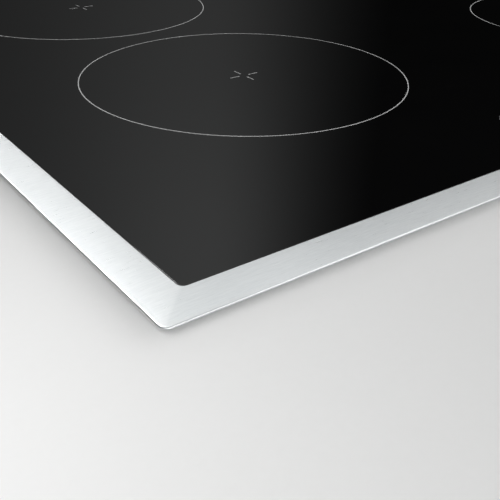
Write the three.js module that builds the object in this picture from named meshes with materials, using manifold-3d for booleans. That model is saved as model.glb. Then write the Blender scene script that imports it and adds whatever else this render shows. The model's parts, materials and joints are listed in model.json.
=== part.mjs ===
// Built-in induction cooktop with a steel surround frame, four coils, two fan-cooled inverter boards,
// a touch control unit, a mains terminal box and four spring clips that hold it in its cut-out.
// Millimetres, +Z up. Origin: centre of the footprint, on the underside of the base housing.
// -Y is the front, where the cook stands.
import * as THREE from "three";
import { mergeVertices } from "three/addons/utils/BufferGeometryUtils.js";
import Module from "manifold-3d";

const wasm = await Module();
wasm.setup();

// ---------------------------------------------------------------- driving dimensions
const WIDTH = 583, DEPTH = 513;            // outside of the surround frame
const BAND = 15;                           // visible width of the frame
const WORKTOP_Z = 51;                      // plane of the worktop the frame rests on
const FRAME_TOP_Z = 54.5;                  // top of the frame at its inner edge
const GLASS_T = 4, GLASS_TOP_Z = 54.3;     // glass ceramic
const GLASS_GAP = 0.35;                    // round the edge of the glass
const LEDGE_Z = 49.9, LEDGE_T = 1.0, LEDGE_IN = 27;   // shelf that carries the glass
const OUTER_R = 3.2, INNER_R = 2.6;        // corner radii of the frame
const HOUSE_X = 547, HOUSE_Y = 477, HOUSE_TOP = 48.6, SHEET = 1.0;
const CARRIER_Z = 36.0, CARRIER_T = 1.2;   // aluminium plate under the coils
const FORMER_Z = 37.4, FORMER_T = 7.6;
const WIND_Z = 45.2, WIND_T = 3.4;
const MAT_Z = 49.1, MAT_T = 1.0;
const ZONES = {                            // centre x, centre y, winding outer radius, winding inner radius
  front_left: [-138, -82, 85, 24],
  rear_left: [-142, 114, 85, 24],
  front_right: [142, -98, 67, 20],
  rear_right: [140, 106, 100, 24],
};
const LEAD_HOLE = {                        // where each coil lead passes the carrier plate
  front_left: [-62, 4], rear_left: [-62, 26], front_right: [143.5, -12], rear_right: [132.5, -12],
};
const FANS = { left: [-140, 165], right: [60, 165] };
const BOARDS = { left: [-248, -32], right: [12, 248] };        // x range of each inverter board
const BOARD_Y = [-70, 104], BOARD_Z = 7.0, PCB_T = 1.6;
const TBOX = { x0: 140, x1: 250, y0: 178, y1: 237.2, z0: 1.2, z1: 30, wall: 2 };
const INLET = { x: 228, z: 15, hole: 11.4, bore: 7.6 };
const CLIP_Y = 150, CLIP_W = 22, CLIP_T = 0.8, CLIP_PIVOT_Z = 44.6;

// ---------------------------------------------------------------- helpers
function solidOf(geometry) {
  const flat = geometry.index ? geometry.toNonIndexed() : geometry.clone();
  const bare = new THREE.BufferGeometry().setAttribute("position", flat.getAttribute("position"));
  const merged = mergeVertices(bare, 1e-4);
  const make = (tris) =>
    new wasm.Manifold(new wasm.Mesh({ numProp: 3, vertProperties: merged.attributes.position.array, triVerts: tris }));
  const tris = new Uint32Array(merged.index.array);
  let m = make(tris);
  if (m.volume() < 0) {
    for (let i = 0; i < tris.length; i += 3) [tris[i], tris[i + 1]] = [tris[i + 1], tris[i]];
    m = make(tris);
  }
  return m;
}
function geometryOf(manifold) {
  const m = manifold.getMesh(), n = m.numProp, v = new Float32Array(m.numVert * 3);
  for (let i = 0; i < m.numVert; i++) v.set(m.vertProperties.subarray(i * n, i * n + 3), i * 3);
  const g = new THREE.BufferGeometry()
    .setAttribute("position", new THREE.BufferAttribute(v, 3))
    .setIndex(new THREE.BufferAttribute(new Uint32Array(m.triVerts), 1));
  g.computeVertexNormals();
  return g;
}
const box = (x0, x1, y0, y1, z0, z1) =>
  new THREE.BoxGeometry(x1 - x0, y1 - y0, z1 - z0).translate((x0 + x1) / 2, (y0 + y1) / 2, (z0 + z1) / 2);
const sbox = (...a) => solidOf(box(...a));
// Cylinder along an axis, from a to b along it, centred on (u, v) in the other two.
function cyl(axis, r, a, b, u, v, seg = 16) {
  const g = new THREE.CylinderGeometry(r, r, b - a, seg);
  const m = (a + b) / 2;
  if (axis === "z") return g.rotateX(Math.PI / 2).translate(u, v, m);
  if (axis === "y") return g.translate(u, m, v);
  return g.rotateZ(Math.PI / 2).translate(m, u, v);
}
const scyl = (...a) => solidOf(cyl(...a));
// Lathe about Z at (x, y): profile is a list of [r, z].
function lathe(profile, x, y, seg = 32) {
  const pts = profile.map(([r, z]) => new THREE.Vector2(r, z));
  if (profile[0][0] > 1e-6) pts.push(pts[0].clone());
  return new THREE.LatheGeometry(pts, seg).rotateX(Math.PI / 2).translate(x, y, 0);
}
function roundRect(hx, hy, r, n = 5, cx = 0, cy = 0) {
  const pts = [];
  [[1, 1, 0], [-1, 1, 90], [-1, -1, 180], [1, -1, 270]].forEach(([sx, sy, a0]) => {
    for (let i = 0; i <= n; i++) {
      const a = ((a0 + (90 * i) / n) * Math.PI) / 180;
      pts.push(new THREE.Vector2(cx + sx * (hx - r) + r * Math.cos(a), cy + sy * (hy - r) + r * Math.sin(a)));
    }
  });
  return pts;
}
const slab = (points, z0, z1, holes = []) => {
  const s = new THREE.Shape(points);
  holes.forEach((h) => s.holes.push(new THREE.Path(h)));
  return new THREE.ExtrudeGeometry(s, { depth: z1 - z0, bevelEnabled: false, steps: 1 }).translate(0, 0, z0);
};
// A closed picture-frame ring: profile is a list of [distance in from the outer edge, z, corner radius].
function ring(profile, hx, hy, n = 5) {
  const m = 4 * (n + 1), pos = [], idx = [];
  profile.forEach(([off, z, r]) =>
    roundRect(hx - off, hy - off, r, n).forEach((p) => pos.push(p.x, p.y, z)));
  const k = profile.length;
  for (let i = 0; i < k; i++)
    for (let j = 0; j < m; j++) {
      const a = i * m + j, b = i * m + ((j + 1) % m), c = ((i + 1) % k) * m + j, d = ((i + 1) % k) * m + ((j + 1) % m);
      idx.push(a, b, d, a, d, c);
    }
  return new THREE.BufferGeometry()
    .setAttribute("position", new THREE.Float32BufferAttribute(pos, 3))
    .setIndex(idx);
}
// Sheet strip of thickness t along an open polyline, as a closed outline.
function strip(points, t) {
  const n = points.length, left = [], right = [];
  for (let i = 0; i < n; i++) {
    const p = points[i], a = points[Math.max(0, i - 1)], b = points[Math.min(n - 1, i + 1)];
    const d1 = new THREE.Vector2(p[0] - a[0], p[1] - a[1]), d2 = new THREE.Vector2(b[0] - p[0], b[1] - p[1]);
    if (i === 0) d1.copy(d2);
    if (i === n - 1) d2.copy(d1);
    d1.normalize(); d2.normalize();
    const n1 = new THREE.Vector2(-d1.y, d1.x), n2 = new THREE.Vector2(-d2.y, d2.x);
    const m = n1.clone().add(n2).normalize(), s = t / 2 / m.dot(n1);
    left.push(new THREE.Vector2(p[0] + m.x * s, p[1] + m.y * s));
    right.push(new THREE.Vector2(p[0] - m.x * s, p[1] - m.y * s));
  }
  return [...left, ...right.reverse()];
}
// Round tube of radius r along a smooth curve through the points.
function tube(points, r, steps, sides = 8, curve = null) {
  const path = curve || new THREE.CatmullRomCurve3(points.map((p) => new THREE.Vector3(...p)), false, "centripetal");
  const s = new THREE.Shape();
  for (let i = 0; i < sides; i++) {
    const a = (2 * Math.PI * i) / sides;
    if (i) s.lineTo(r * Math.cos(a), r * Math.sin(a)); else s.moveTo(r, 0);
  }
  s.closePath();
  return new THREE.ExtrudeGeometry(s, { steps, extrudePath: path, bevelEnabled: false });
}
const join = (list) => list.reduce((a, b) => a.add(b));

const mat = (color, roughness, metalness = 0) => new THREE.MeshStandardMaterial({ color, roughness, metalness });
const M = {
  steel: mat(0xd8dcde, 0.32, 1), glass: mat(0x050505, 0.05), silicone: mat(0x161616, 0.7), foam: mat(0x2a2b2c, 0.95),
  galv: mat(0x9ea3a6, 0.45, 1), alu: mat(0xc4c7c9, 0.35, 1), former: mat(0x2b2a28, 0.6), copper: mat(0xb06a3a, 0.4, 1),
  mica: mat(0xd9d3c4, 0.8), sensor: mat(0xe6e3da, 0.6), pcb: mat(0x1f5a34, 0.5), plastic: mat(0x1c1d1f, 0.55),
  spring: mat(0xb9bcbf, 0.3, 1), lead: mat(0x3a3a3c, 0.6), ribbon: mat(0xb8babd, 0.6), screw: mat(0xaab0b4, 0.35, 1),
  guide: mat(0xe9e9e6, 0.5), ferrite: mat(0x3a3c3f, 0.7),
};

const cooktop = new THREE.Group();
function put(name, shape, material) {
  const g = shape instanceof THREE.BufferGeometry ? geometryOf(solidOf(shape)) : geometryOf(shape);
  const mesh = new THREE.Mesh(g, material);
  mesh.name = name;
  cooktop.add(mesh);
  return mesh;
}

const HX = WIDTH / 2, HY = DEPTH / 2;

// ---------------------------------------------------------------- surround frame
// Pressed from 1 mm sheet: rolled outer lip, shallow sloping band, down-turn beside the glass, ledge under it.
const lipZ = FRAME_TOP_Z - 1.2, edgeZ = FRAME_TOP_Z - 0.42;
const frameProfile = [
  [0.0, lipZ, OUTER_R], [0.0, edgeZ - 0.6, OUTER_R], [0.18, edgeZ - 0.18, OUTER_R - 0.1], [0.6, edgeZ, OUTER_R - 0.3],
  [BAND - 0.35, FRAME_TOP_Z, INNER_R + 0.3], [BAND, FRAME_TOP_Z - 0.3, INNER_R],
  [BAND, LEDGE_Z, INNER_R], [LEDGE_IN, LEDGE_Z, 3.0], [LEDGE_IN, LEDGE_Z - LEDGE_T, 3.0],
  [BAND - 1.0, LEDGE_Z - LEDGE_T, INNER_R + 0.6], [BAND - 1.0, FRAME_TOP_Z - 1.3, INNER_R + 0.6],
  [1.1, edgeZ - 1.0, OUTER_R - 0.9], [1.0, lipZ, OUTER_R - 0.9],
];
let frame = solidOf(ring(frameProfile, HX, HY, 5));
const TAB_X = 190, tabY = HOUSE_Y / 2 - SHEET - 0.4;
for (const sx of [-1, 1])
  for (const sy of [-1, 1]) {
    const x = sx * TAB_X, y0 = sy > 0 ? tabY - 1.5 : -tabY, y1 = y0 + 1.5;
    const tab = sbox(x - 10, x + 10, y0, y1, 37.5, LEDGE_Z - 0.5).subtract(scyl("y", 2.3, y0 - 1, y1 + 1, x, 42, 12));
    frame = frame.add(tab);
  }
put("trim_frame", frame, M.steel);

// ---------------------------------------------------------------- glass and seals
put("glass_ceramic_panel",
  slab(roundRect(HX - BAND - GLASS_GAP, HY - BAND - GLASS_GAP, INNER_R - 0.3, 5), GLASS_TOP_Z - GLASS_T, GLASS_TOP_Z), M.glass);
put("glass_bond_seal",
  ring([[BAND + 1.5, LEDGE_Z + 0.03, 3], [BAND + 1.5, GLASS_TOP_Z - GLASS_T - 0.03, 3],
    [BAND + 9.5, GLASS_TOP_Z - GLASS_T - 0.03, 3], [BAND + 9.5, LEDGE_Z + 0.03, 3]], HX, HY, 3), M.silicone);
put("worktop_seal",
  ring([[3.5, WORKTOP_Z, 4], [3.5, WORKTOP_Z + 2.0, 4], [11.0, WORKTOP_Z + 2.0, 3], [11.0, WORKTOP_Z, 3]], HX, HY, 3), M.foam);

// ---------------------------------------------------------------- base housing
const hx = HOUSE_X / 2, hy = HOUSE_Y / 2;
let house = solidOf(slab(roundRect(hx, hy, 3, 2), 0, HOUSE_TOP))
  .subtract(solidOf(slab(roundRect(hx - SHEET, hy - SHEET, 2, 2), SHEET, HOUSE_TOP + 1)));
const cuts = [];
for (const [fx, fy] of Object.values(FANS))
  for (let i = -4; i <= 4; i++) {
    const y = fy + i * 7, half = Math.sqrt(36 * 36 - (i * 7) ** 2);
    cuts.push(sbox(fx - half, fx - 2, y - 1.7, y + 1.7, -1, SHEET + 1));
    cuts.push(sbox(fx + 2, fx + half, y - 1.7, y + 1.7, -1, SHEET + 1));
  }
for (let i = 0; i < 18; i++) {
  const x = (i - 8.5) * 18;
  cuts.push(sbox(x - 1.7, x + 1.7, -hy - 1, -hy + SHEET + 1, 8, 26));
}
for (const sx of [-1, 1])
  for (const sy of [-1, 1]) {
    const x = sx * hx;
    cuts.push(sbox(x - 3, x + 3, sy * CLIP_Y - CLIP_W / 2 - 0.6, sy * CLIP_Y + CLIP_W / 2 + 0.6, 42.2, 47));
    cuts.push(scyl("y", 2.3, sy * hy - 3, sy * hy + 3, sx * TAB_X, 42, 12));
  }
cuts.push(sbox(TBOX.x0 + 1.5, TBOX.x1 - 1.5, TBOX.y0 + 1.5, 236, -1, SHEET + 0.5));
cuts.push(scyl("y", INLET.hole, hy - 3, hy + 3, INLET.x, INLET.z, 20));
house = house.subtract(join(cuts));
const bosses = [];
const SPRINGS = { front_left: [-246, -215], front_right: [246, -215], rear_left: [-246, 205], rear_right: [123, 216] };
for (const [x, y] of Object.values(SPRINGS)) bosses.push(scyl("z", 5.4, SHEET - 0.3, 13, x, y, 12));
for (const [x0, x1] of Object.values(BOARDS))
  for (const x of [x0 + 6, x1 - 6]) for (const y of [BOARD_Y[0] + 6, BOARD_Y[1] - 6])
    bosses.push(scyl("z", 3.5, SHEET - 0.3, BOARD_Z - 0.1, x, y, 8));
house = house.add(join(bosses));
put("base_housing", house, M.galv);

// ---------------------------------------------------------------- coil carrier and coils
const cx = hx - SHEET - 3.5, cy = hy - SHEET - 3.8;
const notch = [new THREE.Vector2(-112, -172), new THREE.Vector2(112, -172), new THREE.Vector2(112, -cy - 1), new THREE.Vector2(-112, -cy - 1)];
let carrier = solidOf(slab(roundRect(cx, cy, 4, 2), CARRIER_Z, CARRIER_Z + CARRIER_T))
  .subtract(solidOf(slab(notch, CARRIER_Z - 1, CARRIER_Z + CARRIER_T + 1)));
for (const [k, [x, y]] of Object.entries(ZONES)) {
  carrier = carrier.subtract(scyl("z", 5, CARRIER_Z - 1, CARRIER_Z + 3, ...LEAD_HOLE[k], 12));
  carrier = carrier.subtract(scyl("z", 9, CARRIER_Z - 1, CARRIER_Z + 3, x, y, 16));
}
carrier = carrier.subtract(sbox(20, 44, -160, -154, CARRIER_Z - 1, CARRIER_Z + 3));   // ribbon cable slot
put("coil_carrier_plate", carrier, M.alu);

for (const [k, [x, y, ro, ri]] of Object.entries(ZONES)) {
  put("coil_former_" + k, lathe([[9, FORMER_Z], [ro + 4, FORMER_Z], [ro + 4, FORMER_Z + FORMER_T], [ri - 2, FORMER_Z + FORMER_T],
    [ri - 2, FORMER_Z + FORMER_T - 2], [9, FORMER_Z + FORMER_T - 2]], x, y, 32), M.former);
  put("coil_winding_" + k, lathe([[ri, WIND_Z], [ro, WIND_Z], [ro, WIND_Z + WIND_T], [ri, WIND_Z + WIND_T]], x, y, 32), M.copper);
  put("temperature_sensor_" + k, lathe([[0, 34.6], [8.2, 34.6], [8.2, 36], [8.2, 41], [6.0, 43], [6.0, 49.9], [0, 49.9]], x, y, 12), M.sensor);
}
for (const [side, s] of [["left", -1], ["right", 1]]) {
  const keys = Object.keys(ZONES).filter((k) => k.endsWith(side));
  const hole = (k) => Array.from({ length: 12 }, (_, i) => new THREE.Vector2(
    ZONES[k][0] + 7 * Math.cos((i * Math.PI) / 6), ZONES[k][1] + 7 * Math.sin((i * Math.PI) / 6)));
  let m = solidOf(slab(roundRect(112, 213, 6, 3, s * 143, 8), MAT_Z, MAT_Z + MAT_T));
  m = m.subtract(sbox(-113, 113, -240, -171, MAT_Z - 1, MAT_Z + 3));
  keys.forEach((k) => { m = m.subtract(solidOf(slab(hole(k), MAT_Z - 1, MAT_Z + MAT_T + 1))); });
  put("insulation_mat_" + side, m, M.mica);
}

// Carrier springs: compression springs round the bosses of the base.
class Helix extends THREE.Curve {
  constructor(x, y, r, z0, z1, turns) { super(); Object.assign(this, { x, y, r, z0, z1, turns }); }
  getPoint(t, target = new THREE.Vector3()) {
    const a = 2 * Math.PI * this.turns * t;
    return target.set(this.x + this.r * Math.cos(a), this.y + this.r * Math.sin(a), this.z0 + (this.z1 - this.z0) * t);
  }
}
for (const [k, [x, y]] of Object.entries(SPRINGS))
  put("carrier_spring_" + k, tube(null, 0.85, 45, 5, new Helix(x, y, 7.4, SHEET + 1.2, CARRIER_Z - 1.2, 5)), M.spring);

// ---------------------------------------------------------------- inverter boards, heatsinks, chokes
for (const [side, [x0, x1]] of Object.entries(BOARDS)) {
  const fx = FANS[side][0], z = BOARD_Z + PCB_T, e = 0.2;
  const far = side === "left" ? -1 : 1;
  let b = sbox(x0, x1, BOARD_Y[0], BOARD_Y[1], BOARD_Z, z);
  const parts = [
    [fx + 38, fx + 64, 60, 92, 26],            // mains filter capacitor
    [fx + 38, fx + 66, 22, 52, 22],            // resonance capacitor
    [fx + 38, fx + 66, -14, 16, 22],           // resonance capacitor
    [fx + 40, fx + 62, -52, -28, 16],          // relay
    [fx - 30, fx - 4, -62, -50, 10],           // signal connector
  ];
  for (const [a, c, d, f, h] of parts) b = b.add(sbox(a, c, d, f, z - e, z + h));
  if (side === "right") b = b.add(sbox(fx + 90, fx + 130, 60, 84, z - e, z + 12)).add(sbox(fx + 90, fx + 118, -20, 10, z - e, z + 22));
  else b = b.add(sbox(fx - 100, fx - 66, 60, 84, z - e, z + 12)).add(sbox(fx - 100, fx - 72, -20, 10, z - e, z + 22));
  for (const k of Object.keys(LEAD_HOLE).filter((n) => n.endsWith(side))) {   // screw terminals for the coil leads
    const [lx, ly] = LEAD_HOLE[k];
    b = b.add(sbox(lx - 4.5, lx + 4.5, ly - 4.5, ly + 4.5, z - e, z + 7));
  }
  put("power_board_" + side, b, M.pcb);
  // heatsink: fins run front to back, in line with the fan outlet
  const w = 60, n = 9, base = 4, h = 24, fin = 1.6;
  const pts = [new THREE.Vector2(fx - w / 2, 0), new THREE.Vector2(fx + w / 2, 0)];
  for (let i = n - 1; i >= 0; i--) {
    const c = fx - w / 2 + fin / 2 + (i * (w - fin)) / (n - 1);
    pts.push(new THREE.Vector2(c + fin / 2, i === n - 1 ? h : h), new THREE.Vector2(c - fin / 2, h));
    if (i > 0) {
      const p = fx - w / 2 + fin / 2 + ((i - 1) * (w - fin)) / (n - 1);
      pts.push(new THREE.Vector2(c - fin / 2, base), new THREE.Vector2(p + fin / 2, base));
    }
  }
  const comb = new THREE.ExtrudeGeometry(new THREE.Shape(pts), { depth: 120, bevelEnabled: false, steps: 1 })
    .rotateX(Math.PI / 2).translate(0, 84, z + 0.3);
  put("heatsink_" + side, comb, M.alu);
  const tx = side === "left" ? fx - 62 : fx + 104;
  put("filter_choke_" + side, lathe([[7, z + 0.3], [15, z + 0.3], [17, z + 2.3], [17, z + 12.3], [15, z + 14.3], [7, z + 14.3], [5.5, z + 12.3], [5.5, z + 2.3]], tx, 34, 16), M.ferrite);
}

// ---------------------------------------------------------------- blowers
const FAN_Z0 = 2.2, FAN_Z1 = 31;
for (const [side, [fx, fy]] of Object.entries(FANS)) {
  // scroll housing: intake below, outlet towards the front, motor hung from the roof
  let body = solidOf(slab(roundRect(50, 50, 10, 3, fx, fy), FAN_Z0, FAN_Z1));
  body = body.subtract(scyl("z", 47, FAN_Z0 + 1.8, FAN_Z1 - 1.8, fx, fy, 32));
  body = body.subtract(sbox(fx - 28, fx + 46, fy - 52, fy, FAN_Z0 + 1.8, FAN_Z1 - 1.8));
  body = body.subtract(scyl("z", 33, FAN_Z0 - 1, FAN_Z0 + 3, fx, fy, 24));
  put("fan_housing_" + side, body, M.plastic);
  // stator: hangs from the roof, bored for the shaft
  const st = solidOf(lathe([[1.9, 14], [13.5, 14], [13.5, 26], [17, 26.4], [17, FAN_Z1 - 1.9], [1.9, FAN_Z1 - 1.9]], fx, fy, 16));
  put("fan_motor_" + side, st, M.copper);
  // impeller: hub cup over the motor, back disc, blades, bottom ring, shaft
  let rotor = solidOf(lathe([[0, 10.5], [16, 10.5], [17.5, 12], [17.5, 24], [38, 24], [38, 25.2], [15.2, 25.2], [15.2, 12.6], [1.5, 12.6], [1.5, 24], [0, 24]], fx, fy, 24));
  rotor = rotor.add(solidOf(lathe([[34.5, 5.2], [38, 5.2], [38, 6.6], [34.5, 6.6]], fx, fy, 24)));
  const blades = [];
  const NB = 16;
  for (let i = 0; i < NB; i++) {
    const g = box(29, 37.2, -0.5, 0.5, 6.0, 24.5).translate(-33, 0, 0).rotateZ(0.62).translate(33, 0, 0)
      .rotateZ((2 * Math.PI * i) / NB).translate(fx, fy, 0);
    blades.push(solidOf(g));
  }
  rotor = rotor.add(join(blades));
  put("fan_impeller_" + side, rotor, M.plastic);
}

// ---------------------------------------------------------------- touch control unit
let tray = sbox(-106, 106, -229, -178, 34, 50.0).subtract(sbox(-104.4, 104.4, -227.4, -179.6, 35.6, 51));
for (const x of [-96, 96]) for (const y of [-222, -186]) tray = tray.add(scyl("z", 3, SHEET + 0.1, 34.5, x, y, 8));
tray = tray.subtract(sbox(16, 48, -182, -177, 41, 46));
put("control_tray", tray, M.plastic);
let ui = sbox(-102, 102, -226, -182, 37.0, 38.6);
for (const x of [-96, 96]) for (const y of [-220, -188]) ui = ui.add(scyl("z", 2.4, 35.7, 37.3, x, y, 8));
ui = ui.add(sbox(20, 44, -187, -183.4, 38.4, 43.4));
put("control_board", ui, M.pcb);
let guide = sbox(-92, 92, -222, -192, 39.0, 49.8);
for (let i = 0; i < 5; i++) guide = guide.subtract(sbox(-84 + i * 36, -60 + i * 36, -214, -200, 45, 51));
put("display_light_guide", guide, M.guide);
// flat cable from the control board down to the right inverter board
{
  const path = new THREE.CatmullRomCurve3([
    [32, -183.2, 43.9], [32, -174, 43.6], [32, -163, 43], [32, -157.3, 38], [32, -156, 30], [32, -140, 22],
    [32, -100, 21], [38, -70, 21.6], [43, -58, 20.0]].map((p) => new THREE.Vector3(...p)), false, "centripetal");
  const s = new THREE.Shape([[-5, -0.35], [5, -0.35], [5, 0.35], [-5, 0.35]].map((p) => new THREE.Vector2(...p)));
  put("ribbon_cable", new THREE.ExtrudeGeometry(s, { steps: 20, extrudePath: path, bevelEnabled: false }), M.ribbon);
}

// ---------------------------------------------------------------- coil leads
for (const [k, [x, y, ro]] of Object.entries(ZONES)) {
  const [lx, ly] = LEAD_HOLE[k], d = Math.hypot(lx - x, ly - y), ux = (lx - x) / d, uy = (ly - y) / d;
  put("coil_lead_" + k, tube([
    [x + ux * (ro + 0.6), y + uy * (ro + 0.6), 47.0], [lx - ux * 8, ly - uy * 8, 46.8], [lx - ux * 1.5, ly - uy * 1.5, 44.6],
    [lx, ly, 39], [lx, ly, 28], [lx, ly, BOARD_Z + PCB_T + 7.4]], 1.8, 16, 8), M.lead);
}

// ---------------------------------------------------------------- mains terminal box
const T = TBOX;
let tb = sbox(T.x0, T.x1, T.y0, T.y1, T.z0, T.z1)
  .subtract(sbox(T.x0 + T.wall, T.x1 - T.wall, T.y0 + T.wall, T.y1 - T.wall, T.z0 - 1, T.z1 - T.wall));
tb = tb.add(sbox(T.x0 - 4, T.x0 + 0.2, T.y0 - 4, T.y1, T.z0, T.z0 + 1.4)).add(sbox(T.x1 - 0.2, T.x1 + 4, T.y0 - 4, T.y1, T.z0, T.z0 + 1.4))
  .add(sbox(T.x0 - 4, T.x1 + 4, T.y0 - 4, T.y0 + 0.2, T.z0, T.z0 + 1.4));
const HINGE = { y: 184.2, z: 3.2 };
tb = tb.subtract(scyl("x", 1.4, T.x0 + 0.6, T.x0 + 3, HINGE.y, HINGE.z, 12)).subtract(scyl("x", 1.4, T.x1 - 3, T.x1 - 0.6, HINGE.y, HINGE.z, 12));
for (const x of [INLET.x - 14, INLET.x + 14]) tb = tb.add(scyl("z", 3.6, 10.3, T.z1 - 1, x, 227.5, 12)).subtract(scyl("z", 1.7, 9, 24, x, 227.5, 10));
tb = tb.subtract(scyl("y", INLET.hole, T.y1 - 4, T.y1 + 2, INLET.x, INLET.z, 20));
tb = tb.subtract(sbox(150, 164, T.y0 - 1, T.y0 + 3, 16, 24));        // wire outlet towards the boards
put("terminal_box", tb, M.plastic);
let block = sbox(150, 206, 192, 216, 13, 27.8);
for (let i = 0; i < 5; i++) {
  const x = 155.6 + i * 11.2;
  block = block.subtract(sbox(x - 3.2, x + 3.2, 208, 218, 15, 21)).subtract(scyl("z", 2.8, 12, 17.5, x, 203, 10));
}
put("terminal_block", block, M.guide);
let cover = sbox(T.x0 + 2.6, T.x1 - 2.6, 181.4, 234.6, 0.7, 2.5);
cover = cover.add(sbox(T.x0 + 2.6, T.x0 + 5, 182.7, 185.7, 2.3, 4.7)).add(sbox(T.x1 - 5, T.x1 - 2.6, 182.7, 185.7, 2.3, 4.7));
cover = cover.add(scyl("x", 1.1, T.x0 + 1.0, T.x0 + 3, HINGE.y, HINGE.z, 10)).add(scyl("x", 1.1, T.x1 - 3, T.x1 - 1.0, HINGE.y, HINGE.z, 10));
put("terminal_cover", cover, M.plastic);
let clamp = sbox(INLET.x - 18, INLET.x + 18, 223.5, 231.5, 5.6, 10.0)
  .subtract(scyl("y", 9, 220, 235, INLET.x, 17.2, 16));
for (const x of [INLET.x - 14, INLET.x + 14]) clamp = clamp.subtract(scyl("z", 2.0, 4, 12, x, 227.5, 10));
put("cable_clamp", clamp, M.plastic);
for (const [n, x] of [["left", INLET.x - 14], ["right", INLET.x + 14]])
  put("clamp_screw_" + n, lathe([[0, 3.2], [3.4, 3.2], [3.4, 5.4], [1.45, 5.4], [1.45, 18], [0, 18.6]], x, 227.5, 10), M.screw);
put("cable_grommet", geometryOf(solidOf(lathe([[INLET.bore, -4.2], [INLET.hole - 0.3, -4.2], [INLET.hole - 0.3, 0.1], [INLET.hole + 2.2, 0.1], [INLET.hole + 1.6, 2.2], [INLET.bore, 2.2]], 0, 0, 20)))
  .rotateX(-Math.PI / 2).translate(INLET.x, hy + 0.1, INLET.z), M.silicone);
// mains harness from the terminal box to the right inverter board
put("mains_harness", tube([[157, 190.6, 20], [157, 178.9, 20], [157, 168, 20], [158, 140, 21], [163, 110, 24], [166, 84, 26], [168, 72, 24], [168, 72, BOARD_Z + PCB_T + 12.4]], 2.6, 18, 6), M.lead);

// ---------------------------------------------------------------- spring clips and housing screws
for (const [fb, sy] of [["front", -1], ["rear", 1]])
  for (const [lr, sx] of [["left", -1], ["right", 1]]) {
    const line = [[-4.0, 41.4], [-4.0, CLIP_PIVOT_Z], [1.2, CLIP_PIVOT_Z], [8.6, 27.5], [9.4, 24.6], [8.8, 21.8], [6.4, 11.5]];
    const outline = strip(line, CLIP_T).map((p) => new THREE.Vector2(sx * (hx + p.x), p.y));
    const g = new THREE.ExtrudeGeometry(new THREE.Shape(outline), { depth: CLIP_W, bevelEnabled: false, steps: 1 })
      .rotateX(Math.PI / 2).translate(0, sy * CLIP_Y + CLIP_W / 2, 0);
    put(`spring_clip_${fb}_${lr}`, g, M.spring);
    const head = sy > 0 ? hy + 0.15 : -hy - 0.15;
    const prof = [[0, 2.4], [2.4, 2.4], [3.8, 1.2], [3.8, 0], [1.9, 0], [1.9, -7], [0, -8.2]];
    const s = geometryOf(solidOf(lathe(prof.map(([r, z]) => [r, z]), 0, 0, 12)));
    s.rotateX(sy > 0 ? -Math.PI / 2 : Math.PI / 2).translate(sx * TAB_X, head, 42);
    put(`housing_screw_${fb}_${lr}`, s, M.screw);
  }

export default cooktop;
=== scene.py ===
import bpy, bmesh, json, math, random
from mathutils import Vector, Matrix, Quaternion


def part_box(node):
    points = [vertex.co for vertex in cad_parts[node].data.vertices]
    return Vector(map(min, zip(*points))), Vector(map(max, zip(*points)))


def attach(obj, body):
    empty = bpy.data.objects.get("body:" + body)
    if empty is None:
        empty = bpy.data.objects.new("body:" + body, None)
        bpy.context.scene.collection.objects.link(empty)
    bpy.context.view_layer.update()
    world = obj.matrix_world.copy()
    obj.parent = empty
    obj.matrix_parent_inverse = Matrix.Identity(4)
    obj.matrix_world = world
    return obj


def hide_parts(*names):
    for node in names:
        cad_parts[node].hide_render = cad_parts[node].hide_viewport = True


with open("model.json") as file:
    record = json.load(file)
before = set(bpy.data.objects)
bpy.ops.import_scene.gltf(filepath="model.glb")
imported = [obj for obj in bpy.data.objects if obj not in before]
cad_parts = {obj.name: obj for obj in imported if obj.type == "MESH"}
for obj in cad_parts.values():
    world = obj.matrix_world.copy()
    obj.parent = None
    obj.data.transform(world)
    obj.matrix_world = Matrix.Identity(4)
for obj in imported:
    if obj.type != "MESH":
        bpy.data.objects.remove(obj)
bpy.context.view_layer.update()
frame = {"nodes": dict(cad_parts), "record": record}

MM = 0.001
random.seed(7)
scene = bpy.context.scene
NODES = frame["nodes"]

# ------------------------------------------------------------------ sizes taken over from the CAD frame
lo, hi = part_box("trim_frame")
HX, HY = hi.x / MM, hi.y / MM            # half sizes of the surround frame, mm
TOP = hi.z / MM                          # top of the frame's inner edge
BAND = 15.0
glo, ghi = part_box("glass_ceramic_panel")
GLASS_TOP = ghi.z / MM
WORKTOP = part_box("worktop_seal")[0].z / MM

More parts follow.
